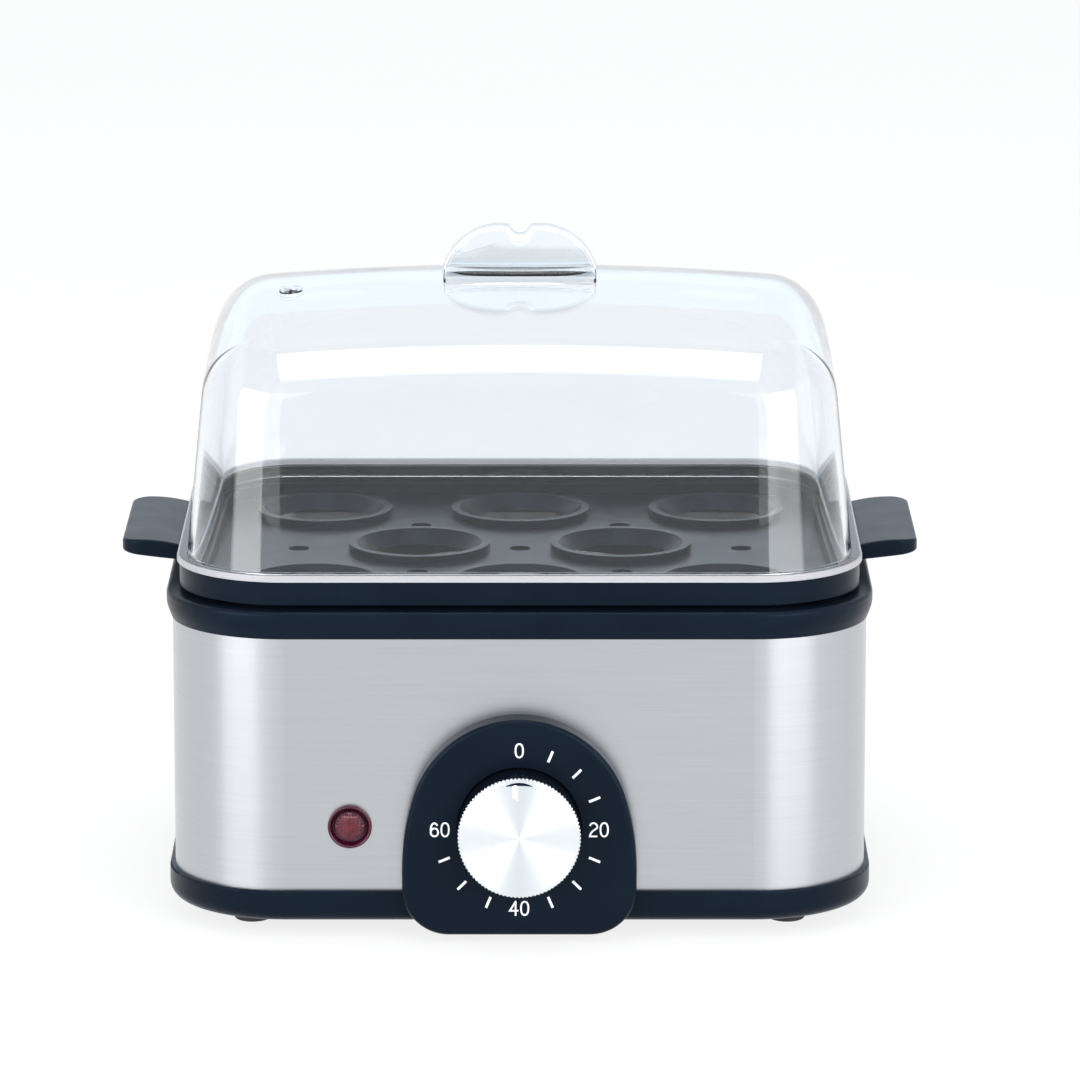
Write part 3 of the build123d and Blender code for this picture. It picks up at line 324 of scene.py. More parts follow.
def rounded_box(half_w, half_d, radius, centre=(0, 0), steps=8, long_steps=1):
    """A rounded rectangle's points, its two long sides divided further if asked."""
    points = []
    for start, sx, sy in ((0, 1, 1), (90, -1, 1), (180, -1, -1), (270, 1, -1)):
        corner = (centre[0] + sx * (half_w - radius), centre[1] + sy * (half_d - radius))
        points += arc_points(corner, radius, start, start + 90, steps)
        if start in (0, 180):
            x, y = points[-1]
            run = -2 * sx * (half_w - radius)
            points += [(x + run * n / long_steps, y) for n in range(1, long_steps)]
    return points


def prism(name, points, depth_axis, low, high):
    """A straight prism from an outline in the plane square to an axis."""
    count = len(points)
    place = {"Y": lambda a, b, d: (a, d, b), "Z": lambda a, b, d: (a, b, d)}[depth_axis]
    vertices = [place(a, b, d) for d in (low, high) for a, b in points]
    faces = [tuple(range(count)), tuple(range(2 * count - 1, count - 1, -1))]
    faces += [(n, n + count, (n + 1) % count + count, (n + 1) % count) for n in range(count)]
    return mesh_object(name, vertices, faces)


def stack_faces(ring_count, ring_size):
    """Quads between neighbouring rings."""
    faces = []
    for ring in range(ring_count - 1):
        for step in range(ring_size):
            after = (step + 1) % ring_size
            faces.append((ring * ring_size + step, ring * ring_size + after,
                          (ring + 1) * ring_size + after, (ring + 1) * ring_size + step))
    return faces


def revolved(name, centre, profile, steps, teeth=0, depth=0.0, toothed=(), hollow=False):
    """A turning about an axis along Y, from (radius, y) points; the toothed ones carry teeth.

    It closes with a flat disc at each end, or, when hollow, by joining its last ring to its first.
    """
    vertices = []
    for index, (radius, y) in enumerate(profile):
        for step in range(steps):
            angle = 2 * pi * step / steps
            cut = depth * (0.5 - 0.5 * cos(teeth * angle)) if index in toothed else 0
            reach = radius - cut
            vertices.append((centre[0] + reach * cos(angle), y, centre[1] + reach * sin(angle)))
    faces = stack_faces(len(profile), steps)
    end = (len(profile) - 1) * steps
    first, last = len(vertices), len(vertices) + 1
    if not hollow:
        vertices += [(centre[0], profile[0][1], centre[1]), (centre[0], profile[-1][1], centre[1])]
    for step in range(steps):
        after = (step + 1) % steps
        if hollow:
            faces.append((end + step, end + after, after, step))
        else:
            faces += [(first, after, step), (last, end + step, end + after)]
    return mesh_object(name, vertices, faces)


def outline_stations(inset, corner_steps=20, side_steps=14):
    """Points of the base's rounded outline with their outward normals, anticlockwise from above."""
    radius = body_r - inset
    centre_x = body_w / 2 - inset - radius
    centre_y = body_d / 2 - inset - radius
    stations = []
    for quarter, (sx, sy) in enumerate(((1, 1), (-1, 1), (-1, -1), (1, -1))):
        for step in range(corner_steps + 1):
            angle = pi / 2 * (quarter + step / corner_steps)
            nx, ny = cos(angle), sin(angle)
            stations.append((sx * centre_x + radius * nx, body_y + sy * centre_y + radius * ny, nx, ny))
        x0, y0, nx, ny = stations[-1]
        run = 2 * (centre_x if quarter % 2 == 0 else centre_y)
        tx, ty = -ny, nx
        for step in range(1, side_steps):
            along = run * step / side_steps
            stations.append((x0 + tx * along, y0 + ty * along, nx, ny))
    return stations


def inset_of(x, y):
    """How far a point lies inside the base's outline."""
    across = max(0.0, abs(x) - body_w / 2 + body_r)
    along = max(0.0, abs(y - body_y) - body_d / 2 + body_r)
    return body_r - sqrt(across * across + along * along)


def crown_height(x, y, skin):
    """Height of the crown over a point, under a skin."""
    dy = y - body_y
    radius = crown_r_front - skin
    return crown_z - skin - x * x / (2 * crown_r_side) - (radius - sqrt(radius * radius - dy * dy))


def rounding_centres(stations, radius, skin):
    """For each station the rounding's centre, as a depth and a height, and the crown's slope over it."""
    draft = radians(cover_draft_deg)
    centres = []
    for x, y, nx, ny in stations:
        centre_z = crown_z - 2 * radius
        for _ in range(rounding_tries):
            centre_t = tan(draft) * (centre_z - cover_foot_z) + radius / cos(draft)
            cx, cy = x - nx * centre_t, y - ny * centre_t
            ahead = crown_height(cx - nx * slope_reach, cy - ny * slope_reach, skin)
            slope = (ahead - crown_height(cx, cy, skin)) / slope_reach
            centre_z = crown_height(cx, cy, skin) - radius * sqrt(1 + slope * slope)
        centres.append((centre_t, centre_z, slope))
    return centres


def wall_rings(stations, centres, radius):
    """Rings of the leaning wall, from the foot to just under the rounding."""
    draft = radians(cover_draft_deg)
    rings = []
    for share in wall_shares:
        ring = []
        for (x, y, nx, ny), (_, centre_z, _) in zip(stations, centres):
            top = centre_z + radius * sin(draft)
            z = cover_foot_z + (top - cover_foot_z) * share
            t = tan(draft) * (z - cover_foot_z)
            ring.append((x - nx * t, y - ny * t, z))
        rings.append(ring)
    return rings


def rounding_rings(stations, centres, radius):
    """Rings of the rounding between the wall and the crown."""
    start = pi - radians(cover_draft_deg)
    rings = []
    for step in range(rounding_steps + 1):
        ring = []
        for (x, y, nx, ny), (centre_t, centre_z, slope) in zip(stations, centres):
            end = pi / 2 + atan(slope)
            angle = start + (end - start) * step / rounding_steps
            t = centre_t + radius * cos(angle)
            ring.append((x - nx * t, y - ny * t, centre_z + radius * sin(angle)))
        rings.append(ring)
    return rings


def crown_rings(rim, skin):
    """Rings of the crown, shrinking from its rim towards its middle."""
    rings = []
    for step in range(1, crown_steps):
        share = 1 - step / crown_steps
        ring = []
        for x, y, _ in rim:
            px, py = x * share, body_y + (y - body_y) * share
            ring.append((px, py, crown_height(px, py, skin)))
        rings.append(ring)
    return rings


def cover_rings(skin):
    """Rings of one face of the cover, from the foot up over the rounding to the crown's middle."""
    radius = cover_edge_r - skin
    stations = outline_stations(cover_inset + skin)
    centres = rounding_centres(stations, radius, skin)
    rings = wall_rings(stations, centres, radius) + rounding_rings(stations, centres, radius)
    return rings + crown_rings(rings[-1], skin)


def offset_ring(inset, z):
    """The base's outline, moved in, at one height."""
    return [(x, y, z) for x, y, nx, ny in outline_stations(inset)]


def wall_foot_ring(inset):
    """The leaning wall's outline at the flange's top."""
    draft = tan(radians(cover_draft_deg))
    return [(x - nx * draft * cover_flange_t, y - ny * draft * cover_flange_t, flange_top_z)
            for x, y, nx, ny in outline_stations(inset)]


def flange_rings():
    """Rings over the flange's rounded edge, along its foot, round the lip and up inside it."""
    edge = cover_flange_edge_r
    turns = [pi / 2 * step / flange_steps for step in range(flange_steps + 1)]
    profile = [(cover_flange_inset + edge * (1 - sin(turn)), flange_top_z - edge * (1 - cos(turn)))
               for turn in turns]
    low = lid_low[2]
    profile += [
        (cover_flange_inset, cover_foot_z + cover_flange_chamfer),
        (cover_flange_inset + cover_flange_chamfer, cover_foot_z),
        (cover_lip_out, cover_foot_z),
        (cover_lip_out, low + cover_lip_chamfer),
        (cover_lip_out + cover_lip_chamfer, low),
        (cover_lip_in - cover_lip_chamfer, low),
        (cover_lip_in, low + cover_lip_chamfer),
        (cover_lip_in, flange_top_z),
    ]
    return [offset_ring(inset, z) for inset, z in profile]


def cover_shell():
    """The whole moulding: crown, rounding, walls, flange and lip, as one closed skin."""
    outer = cover_rings(0)
    inner = cover_rings(cover_t)
    foot = wall_foot_ring(cover_inset)
    sill = wall_foot_ring(cover_inset + cover_t)
    rings = outer[:0:-1] + [foot] + flange_rings() + [sill] + inner[1:]
    size = len(rings[0])
    vertices = [point for ring in rings for point in ring]
    faces = stack_faces(len(rings), size)
    top = len(vertices)
    vertices.append((0, body_y, crown_z))
    vertices.append((0, body_y, crown_z - cover_t))
    last = (len(rings) - 1) * size
    for step in range(size):
        after = (step + 1) % size
        faces.append((top, after, step))
        faces.append((top + 1, last + step, last + after))
    return mesh_object("clear_cover", vertices, faces, cover_sharp_deg)


def grip_outline(inset):
    """The tab's front outline, from its right foot over the arch and notch to the left foot."""
    foot = crown_z + grip_foot_h
    top = grip_top - inset
    half = grip_half_w - inset
    shoulder = (grip_flat + (half - grip_flat) * grip_bulge, foot + (top - foot) * grip_bulge)
    right = through((half, foot), shoulder, (grip_flat, top), grip_arch_steps)
    reach = notch_r + inset
    right += [(reach + notch_ease, top), (reach + notch_shoulder_in, top - notch_shoulder_drop)]
    notch = arc_points((0, top + notch_lift), reach, -notch_start_deg, notch_start_deg - 180, notch_steps)
    left = [(-x, z) for x, z in reversed(right)]
    root = crown_z - grip_root
    return [(half, root)] + right + notch + left + [(-half, root)]


def grip_tab():
    """The upright tab, its edges softened."""
    half_t = grip_t / 2
    tab = prism("tab", grip_outline(0), "Y", body_y - half_t, body_y + half_t)
    bevel = tab.modifiers.new("edge", "BEVEL")
    bevel.width = grip_edge_r * MM
    bevel.segments = 3
    bevel.limit_method = "ANGLE"
    return tab


def grip_foot():
    """The foot that the tab stands on: upright edges, with a lens-shaped slope along its front and back."""
    rings = [(0, -grip_root), (0, foot_slope_low)]
    for step in range(1, foot_slope_steps + 1):
        turn = pi / 2 * step / foot_slope_steps
        rings.append((foot_slope_in * (1 - cos(turn)), foot_slope_low + foot_slope_rise * sin(turn)))
    rings.append((foot_slope_in, grip_foot_h))
    vertices = []
    for inset, rise in rings:
        for x, y in rounded_box(grip_half_w, grip_foot_w / 2, grip_foot_corner_r, (0, 0), 4, 12):
            lens = sqrt(max(0.0, 1 - (x / foot_slope_half) ** 2))
            moved = y - inset * lens if y > 0 else y + inset * lens
            vertices.append((x, body_y + moved, crown_z + rise))
    size = len(vertices) // len(rings)
    faces = stack_faces(len(rings), size)
    faces += [tuple(range(size)), tuple(range(len(rings) * size - 1, (len(rings) - 1) * size - 1, -1))]
    return mesh_object("foot", vertices, faces)


def on_foot_side(x, y, z):
    """Whether a point lies on the upright sides of the grip's foot, under the slope."""
    if z < crown_z - foot_slope_low or z > crown_z + foot_slope_low + surface_tolerance:
        return False
    at_long_side = abs(x) < grip_half_w and abs(abs(y - body_y) - grip_foot_w / 2) < surface_tolerance
    at_end = abs(abs(x) - grip_half_w) < surface_tolerance and abs(y - body_y) < grip_foot_w / 2
    return at_long_side or at_end


def on_tab_edge(x, y, z, normal):
    """Whether a face lies on the tab's narrow outer edge, over its foot."""
    in_tab = abs(x) < grip_half_w + surface_tolerance and abs(y - body_y) < grip_t / 2
    return in_tab and z > crown_z + grip_foot_h + surface_tolerance and normal.z > least_upward


def paint_cover(shell):
    """Clear plastic, with a pale milky colour on the flange's outer faces and on the grip's narrow ones:
    painted highlight lines.
    """
    paint(shell, finishes["clear_plastic"])
    shell.data.materials.append(finishes["flange_painted_highlight"])
    shell.data.materials.append(finishes["grip_painted_highlight"])
    for face in shell.data.polygons:
        x, y, z = face.center / MM
        # The flange's outer band takes the pale finish: a painted highlight line.
        if z > cover_foot_z and inset_of(x, y) < cover_flange_inset + highlight_band_depth:
            face.material_index = 1
        # The grip foot's upright sides and the tab's narrow edge take a paler finish: painted highlight
        # outlines.
        elif on_foot_side(x, y, z) or on_tab_edge(x, y, z, face.normal):
            face.material_index = 2


def cover():
    """The clear cover with its grip, the grip's hollow from below and the steam vent."""
    shell = cover_shell()
    half_t = grip_t / 2
    tab = grip_tab()
    foot = grip_foot()
    vent_place = (-vent_x, body_y - vent_y)
    vent_z = crown_z - vent_x ** 2 / (2 * crown_r_side)
    boss = prism("boss", circle_points(vent_place, vent_boss_r), "Z",
                 vent_z - vent_boss_h, vent_z + vent_boss_h)
    combined(shell, [tab, foot, boss], "UNION")
    hollow = prism("hollow", grip_outline(grip_skin), "Y",
                   body_y - half_t + grip_skin, body_y + half_t - grip_skin)
    slot_outline = rounded_box(grip_half_w - 2 * grip_skin, half_t - grip_skin, slot_corner_r, (0, body_y))
    slot = prism("slot", slot_outline, "Z", crown_z - 2 * cover_t, crown_z + grip_foot_h + grip_skin)
    bore = prism("bore", circle_points(vent_place, vent_bore_r), "Z",
                 vent_z - 4 * cover_t, vent_z + 4 * cover_t)
    combined(shell, [hollow, slot, bore], "DIFFERENCE")
    smooth(shell, cover_sharp_deg)
    paint_cover(shell)
    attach(shell, "cover")
    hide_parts("lid")


def on_dial(points):
    """Points about the dial's middle, as places in the room."""
    return [(x, dial_z + z) for x, z in points]


def knob_face():
    """The metal face with its milled rim, shallow step, lens-shaped slit and fine cut beside it, the slit
    darkened by a black sheet set in it as painted shade.
    """
    chamfer_in, chamfer_back = face_back_chamfer
    profile = [(cap_r - inward, cap_front + back) for inward, back in face_rim]
    profile += [(cap_r, cap_back - chamfer_back), (cap_r - chamfer_in, cap_back)]
    face = revolved("knob_face", (0, dial_z), profile, knob_teeth * tooth_steps, knob_teeth, tooth_depth,
                    face_rim_toothed)
    high_bow = bowed(slit_half, slit_foot, slit_bow_high)
    low_bow = bowed(slit_half, slit_foot, slit_bow_low)
    slit_points = high_bow + low_bow[-2:0:-1]
    slit = prism("slit", on_dial(slit_points), "Y", cap_front - overshoot, cap_back + overshoot)
    cut = prism("cut", on_dial(side_cut), "Y", cap_front - overshoot, cap_front + side_cut_deep)
    combined(face, [slit, cut], "DIFFERENCE")
    # A black sheet just behind the slit's mouth: painted shade in the slit.
    slit_shadow = prism("slit_painted_shadow", on_dial(slit_points), "Y", cap_front + slit_shadow_set_back, cap_back)
    paint(slit_shadow, finishes["knob_plastic"])
    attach(slit_shadow, "knob")
    smooth(face)
    paint(face, finishes["knob_aluminium"])
    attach(face, "knob")
    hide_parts("knob_cap")


def knob_knurl():
    """The fine ribs round the knob's plastic side."""
    inner, outer = knob_side_r - knurl_root, knob_side_r + knurl_proud
    front_in, front_back = knurl_front_chamfer
    back_out, back_front = knurl_back_chamfer
    back = knob_back - knurl_back_gap
    profile = [(inner, cap_back), (outer - front_in, cap_back), (outer, cap_back + front_back),
               (outer, knob_back - back_front), (inner + back_out, back), (inner, back)]
    knurl = revolved("knob_knurl", (0, dial_z), profile, knob_teeth * tooth_steps, knob_teeth, knurl_depth,
                     knurl_toothed, hollow=True)
    paint(knurl, finishes["knob_plastic"])
    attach(knurl, "knob")


def knob_pointer():
    """The white pointer, its foot cut slanting, laid on the face under the slit."""
    left, right = -pointer_side - pointer_w / 2, -pointer_side + pointer_w / 2
    low, high = dial_z + pointer_r - pointer_l / 2, dial_z + pointer_r + pointer_l / 2
    (left_in, left_rise), (right_in, right_rise) = pointer_slant
    tip_in, tip_rise = pointer_tip
    points = [(left + left_in, low + left_rise), (right - right_in, low + right_rise), (right, low),
              (right, high - tip_rise), (right - tip_in, high + tip_rise), (left + tip_in, high + tip_rise),
              (left, high - tip_rise)]
    pointer = prism("pointer_inlay", points, "Y", cap_front - pointer_proud, cap_front + pointer_deep)
    paint(pointer, finishes["pointer_white"])
    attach(pointer, "knob")
    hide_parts("knob_pointer")


def lamp_lens():
    """The lamp's lens with its rolled rim, its groove, and the bore from behind; rim and groove take a
    darker red as painted shade.
    """
    turns = [pi * n / lens_rim_steps for n in range(lens_rim_steps)]
    rim = [(lens_r - lens_rim_r + lens_rim_r * cos(turn),
            sleeve_face - lens_rim_proud - lens_rim_r * sin(turn)) for turn in turns]
    groove = [(lens_r - inward, sleeve_face + back) for inward, back in lens_groove]
    bore = [(lens_bore_r, sleeve_face + lens_bore_front), (lens_bore_r, lens_high[1])]
    barrel = [(lens_barrel_r, lens_high[1]), (lens_barrel_r, sleeve_face), (lens_r, sleeve_face)]
    profile = bore + barrel + rim + groove + [(dome_r, sleeve_face - dome_edge_proud)]
    lens = revolved("lens", (lens_x, lens_z), profile, lens_steps)
    paint(lens, finishes["lens_rim_painted_shade"])
    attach(lens, "base")
    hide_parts("lamp_lens")


def lens_pyramids():
    """The lens's dome, pressed with small pyramids, as a thin closed sheet."""
    pitch = 2 * dome_r / pyramid_rows
    vertices, faces, grid = [], [], {}

    def point(x, z, proud):
        """Number of the point over a place on the dome, made when first asked for."""
        key = (round(x, 4), round(z, 4))
        if key not in grid:
            grid[key] = len(vertices)
            far = min(1.0, sqrt(x * x + z * z) / dome_r)
            bow = pyramid_bow * (1 - far * far)
            vertices.append((lens_x + x, sleeve_face - pyramid_foot_proud - bow - proud, lens_z + z))
        return grid[key]

    for row in range(pyramid_rows):
        for column in range(pyramid_rows):
            x, z = (column - pyramid_rows / 2) * pitch, (row - pyramid_rows / 2) * pitch
            corners = [(x, z), (x + pitch, z), (x + pitch, z + pitch), (x, z + pitch)]
            if max(sqrt(a * a + b * b) for a, b in corners) > dome_r + pyramid_spill:
                continue
            ring = [point(a, b, 0) for a, b in corners]
            peak = point(x + pitch / 2, z + pitch / 2, pyramid_h)
            faces += [(ring[n], ring[(n + 1) % 4], peak) for n in range(4)]
    pyramids = mesh_object("lens_pyramids", vertices, faces, pyramid_sharp_deg)
    thick = pyramids.modifiers.new("thick", "SOLIDIFY")
    thick.thickness = pyramid_sheet_t * MM
    thick.offset = 0
    paint(pyramids, finishes["red_lens"])
    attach(pyramids, "base")


def stroke(name, points, low, high, closed=False):
    """A flat stroke of the digits' width along a line, from one depth to another."""
    count = len(points)
    left, right = [], []
    for n, (x, z) in enumerate(points):
        before = points[n - 1] if closed or n else points[n]
        after = points[(n + 1) % count] if closed or n < count - 1 else points[n]
        turns = []
        for (ax, az), (bx, bz) in ((before, (x, z)), ((x, z), after)):
            run = sqrt((bx - ax) ** 2 + (bz - az) ** 2)
            if run:
                turns.append((-(bz - az) / run, (bx - ax) / run))
        nx, nz = [sum(turn[axis] for turn in turns) / len(turns) for axis in (0, 1)]
        reach = digit_stroke / 2 / (nx * nx + nz * nz)
        left.append((x + nx * reach, z + nz * reach))
        right.append((x - nx * reach, z - nz * reach))
    if not closed:
        return prism(name, left + right[::-1], "Y", low, high)
    vertices = [(a, y, b) for y in (low, high) for ring in (left, right) for a, b in ring]
    faces = []
    for n in range(count):
        m = (n + 1) % count
        for p, q in ((0, 1), (3, 2), (2, 0), (1, 3)):
            faces.append((p * count + n, p * count + m, q * count + m, q * count + n))
    return mesh_object(name, vertices, faces)


def squared_oval(half_w, half_h, steps=40):
    """An oval with slightly squared shoulders."""
    oval = []
    for n in range(steps):
        c, s = cos(2 * pi * n / steps), sin(2 * pi * n / steps)
        oval.append((half_w * (abs(c) ** oval_powers[0]) * (1 if c > 0 else -1),
                     half_h * (abs(s) ** oval_powers[1]) * (1 if s > 0 else -1)))
    return oval


def digit_lines(digit):
    """Centre lines of one digit about its own middle, each with whether it closes.

    The bare numbers are shares of the digit's half width or height, and angles in degrees.
    """
    w, h = digit_w / 2, digit_h / 2
    if digit == "0":
        return [(squared_oval(w, h), True)]
    if digit == "2":
        top = [(w * cos(a), h - w + w * sin(a)) for a in [radians(168 - 198 * n / 16) for n in range(17)]]
        run = [(0.62 * w, h - 1.62 * w), (-0.25 * w, -h + 1.45 * w), (-0.78 * w, -h + 0.75 * w), (-w, -h)]
        return [(top + run + [(w * 1.02, -h)], False)]
    if digit == "4":
        return [([(0.42 * w, h), (-1.12 * w, -0.36 * h), (1.2 * w, -0.36 * h)], False),
                ([(0.42 * w, h + digit_stroke / 2), (0.42 * w, -h - digit_stroke / 2)], False)]
    bowl_h = 0.6 * h
    bowl = [(w * cos(2 * pi * n / 32), -h + bowl_h + bowl_h * sin(2 * pi * n / 32)) for n in range(32)]
    stem = [(w * cos(a), 0.98 * h * sin(a)) for a in [radians(38 + 162 * n / 20) for n in range(21)]]
    return [(bowl, True), (stem, False)]


def dial_number(words, x, z):
    """One number on the dial, its digits side by side."""
    low, high = face_y - ink_t, face_y + ink_t
    pitch = digit_w + digit_stroke + digit_gap
    pieces = []
    for place, digit in enumerate(words):
        offset = x + (place - (len(words) - 1) / 2) * pitch
        for line, closed in digit_lines(digit):
            moved = [(a + offset, b + z) for a, b in line]
            pieces.append(stroke("dial_number_" + words, moved, low, high, closed))
    number = pieces[0]
    combined(number, pieces[1:], "UNION")
    smooth(number)
    paint(number, finishes["white_print"])
    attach(number, "base")


def print_on_panel():
    """Dial ticks and numbers, printed on the panel's face."""
    middle_z = dial_z - print_drop
    vertices, faces = [], []
    for degrees in tick_degrees:
        angle = radians(degrees)
        along = Vector((sin(angle), cos(angle)))
        across = Vector((cos(angle), -sin(angle)))
        start = len(vertices)
        for y in (face_y - ink_t, face_y + ink_t):
            for side, end in ((-1, -1), (1, -1), (1, 1), (-1, 1)):
                point = along * (tick_r + end * tick_l / 2) + across * side * tick_w / 2
                vertices.append((point.x, y, middle_z + point.y))
        faces += [tuple(start + n for n in quad) for quad in
                  ((0, 1, 2, 3), (7, 6, 5, 4), (0, 4, 5, 1), (1, 5, 6, 2), (2, 6, 7, 3), (3, 7, 4, 0))]
    ticks = mesh_object("dial_ticks", vertices, faces)
    paint(ticks, finishes["white_print"])
    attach(ticks, "base")
    for words, degrees in number_degrees:
        angle = radians(degrees)
        dial_number(words, sin(angle) * number_r_x, middle_z + cos(angle) * number_r_z)


def node_material(name):
    """A new material with an empty node tree but for its shader and output."""
    material = bpy.data.materials.new(name)
    material.use_nodes = True
    return material, material.node_tree, material.node_tree.nodes["Principled BSDF"]


def noise(tree, scale, detail=4.0, stretch=(1, 1, 1), roughness=0.5):
    """Noise in object coordinates, stretched along the axes."""
    place = tree.nodes.new("ShaderNodeTexCoord")
    mapping = tree.nodes.new("ShaderNodeMapping")
    mapping.inputs["Scale"].default_value = stretch
    texture = tree.nodes.new("ShaderNodeTexNoise")
    texture.inputs["Scale"].default_value = scale
    texture.inputs["Detail"].default_value = detail
    texture.inputs["Roughness"].default_value = roughness
    tree.links.new(place.outputs["Object"], mapping.inputs["Vector"])
    tree.links.new(mapping.outputs["Vector"], texture.inputs["Vector"])
    return texture.outputs["Fac"]


def ramp(tree, value, low, high, at=(0.3, 0.7)):
    """Colour between two colours over a stretch of the value."""
    node = tree.nodes.new("ShaderNodeValToRGB")
    node.color_ramp.elements[0].position = at[0]
    node.color_ramp.elements[1].position = at[1]
    node.color_ramp.elements[0].color = (*low, 1)
    node.color_ramp.elements[1].color = (*high, 1)
    tree.links.new(value, node.inputs["Fac"])
    return node.outputs["Color"]


def span(tree, value, low, high):
    """A value mapped from 0..1 to a range."""
    node = tree.nodes.new("ShaderNodeMapRange")
    node.inputs["To Min"].default_value = low
    node.inputs["To Max"].default_value = high
    tree.links.new(value, node.inputs["Value"])
    return node.outputs["Result"]


def bump(tree, shader, height, distance, strength=1.0):
    """Relief in a shader's surface, its distance in metres."""
    node = tree.nodes.new("ShaderNodeBump")
    node.inputs["Distance"].default_value = distance
    node.inputs["Strength"].default_value = strength
    tree.links.new(height, node.inputs["Height"])
    tree.links.new(node.outputs["Normal"], shader.inputs["Normal"])


def shade(colour, share):
    """A colour made darker or lighter."""
    return tuple(value * share for value in colour)


def mottled(name, colour, shares, rough, noises, relief, strength=1.0):
    """A material whose colour, gloss and relief vary, each over its own (scale, detail) of noise."""
    material, tree, shader = node_material(name)
    colour_noise, gloss_noise, relief_noise = noises
    low, high = [shade(colour, share) for share in shares]
    tree.links.new(ramp(tree, noise(tree, *colour_noise), low, high), shader.inputs["Base Color"])
    tree.links.new(span(tree, noise(tree, *gloss_noise), *rough), shader.inputs["Roughness"])
    bump(tree, shader, noise(tree, *relief_noise), relief, strength)
    return material, shader


def moulded_plastic(name, colour, rough=0.3, spread=0.12, gloss=0.5, tint=white):
    """Moulded plastic: faint mottling in colour and gloss and a fine skin texture."""
    material, shader = mottled(name, colour, (1 - spread, 1 + spread), (rough - 0.06, rough + 0.08),
                               ((45, 4), (90, 6), (2600, 3)), 0.00002)
    shader.inputs["Specular IOR Level"].default_value = gloss
    shader.inputs["Specular Tint"].default_value = (*tint, 1)
    return material


def plain_metal(name, colour, rough=0.3):
    """Plated or turned metal with fine scatter in its gloss."""
    material, shader = mottled(name, colour, (0.88, 1), (rough - 0.08, rough + 0.1),
                               ((200, 5), (500, 4), (1500, 3)), 0.00001)
    shader.inputs["Metallic"].default_value = 1.0
    return material


def clear_plastic(name, colour, rough=0.02):
    """Clear moulding: slight waves in its surface and a faint cast."""
    material, shader = mottled(name, colour, (0.985, 1), (rough * 0.5, rough * 1.5),
                               ((12, 4), (30, 4), (18, 2)), 0.00006, 0.6)
    shader.inputs["Transmission Weight"].default_value = 1.0
    shader.inputs["IOR"].default_value = 1.5
    return material


def painted_highlight_plastic(name, colour):
    """The clear moulding's edges made pale and milky: a painted highlight standing in for the bright lines
    along them.
    """
    material, shader = mottled(name, colour, (0.96, 1), (0.3, 0.45),
                               ((60, 4), (300, 4), (900, 3)), 0.00002)
    shader.inputs["Transmission Weight"].default_value = 0.4
    return material


def red_moulding(name, colour):
    """Deep red moulding that lets a little light through, mottled inside."""
    material, shader = mottled(name, colour, (0.6, 1.3), (0.08, 0.2),
                               ((700, 4), (900, 4), (1200, 3)), 0.00003)
    shader.inputs["Transmission Weight"].default_value = 0.3
    shader.inputs["Specular IOR Level"].default_value = 0.5
    return material


def rubber(name, colour):
    """Dull rubber with a coarse skin."""
    return mottled(name, colour, (0.8, 1.2), (0.55, 0.75), ((70, 4), (200, 5), (1800, 4)), 0.00004)[0]


def grooved_metal(tree, shader, axis, stretch):
    """Bare metal whose highlights spread across grooves that run round an axis."""
    shader.inputs["Metallic"].default_value = 1.0
    shader.inputs["Anisotropic"].default_value = stretch
    shader.inputs["Anisotropic Rotation"].default_value = 0.25
    tangent = tree.nodes.new("ShaderNodeTangent")
    tangent.direction_type = "RADIAL"
    tangent.axis = axis
    tree.links.new(tangent.outputs["Tangent"], shader.inputs["Tangent"])


def brushed_steel():
    """Stainless steel brushed level with the table: long streaks in colour, gloss and relief."""
    material, tree, shader = node_material("brushed_steel")
    fine = noise(tree, 60, 8, (0.6, 0.6, 55), 0.65)
    broad = noise(tree, 14, 4, (0.7, 0.7, 30), 0.5)
    tree.links.new(ramp(tree, fine, (0.485, 0.502, 0.52), (0.545, 0.562, 0.582), (0.25, 0.75)),
                   shader.inputs["Base Color"])
    tree.links.new(span(tree, broad, 0.28, 0.34), shader.inputs["Roughness"])
    bump(tree, shader, fine, 0.00002, 0.5)
    grooved_metal(tree, shader, "Z", 0.65)
    return material


def distance_from_axis(tree, x, z):
    """How far a place lies from an axis along Y, in metres."""
    place = tree.nodes.new("ShaderNodeTexCoord")
    centre = tree.nodes.new("ShaderNodeVectorMath")
    centre.operation = "SUBTRACT"
    centre.inputs[1].default_value = (x, 0, z)
    flatten = tree.nodes.new("ShaderNodeVectorMath")
    flatten.operation = "MULTIPLY"
    flatten.inputs[1].default_value = (1, 0, 1)
    length = tree.nodes.new("ShaderNodeVectorMath")
    length.operation = "LENGTH"
    tree.links.new(place.outputs["Object"], centre.inputs[0])
    tree.links.new(centre.outputs["Vector"], flatten.inputs[0])
    tree.links.new(flatten.outputs["Vector"], length.inputs[0])
    return length.outputs["Value"]


def spun_aluminium():
    """Bright aluminium, turned round the knob's axis: rings in relief and a split highlight."""
    material, tree, shader = node_material("spun_aluminium")
    rings = tree.nodes.new("ShaderNodeTexNoise")
    rings.noise_dimensions = "1D"
    rings.inputs["Scale"].default_value = 7000
    rings.inputs["Detail"].default_value = 5
    tree.links.new(distance_from_axis(tree, 0, dial_z * MM), rings.inputs["W"])
    tree.links.new(ramp(tree, rings.outputs["Fac"], (0.82, 0.87, 0.90), (0.90, 0.935, 0.955)),
                   shader.inputs["Base Color"])
    tree.links.new(span(tree, rings.outputs["Fac"], 0.28, 0.38), shader.inputs["Roughness"])
    bump(tree, shader, rings.outputs["Fac"], 0.00001, 0.4)
    grooved_metal(tree, shader, "Y", 0.95)
    return material


def paint(piece, material):
    """Gives a piece or CAD node one finish."""
    piece.data.materials.clear()
    piece.data.materials.append(material)


# Tint of the black plastics' highlights
navy = (0.42, 0.58, 0.74)

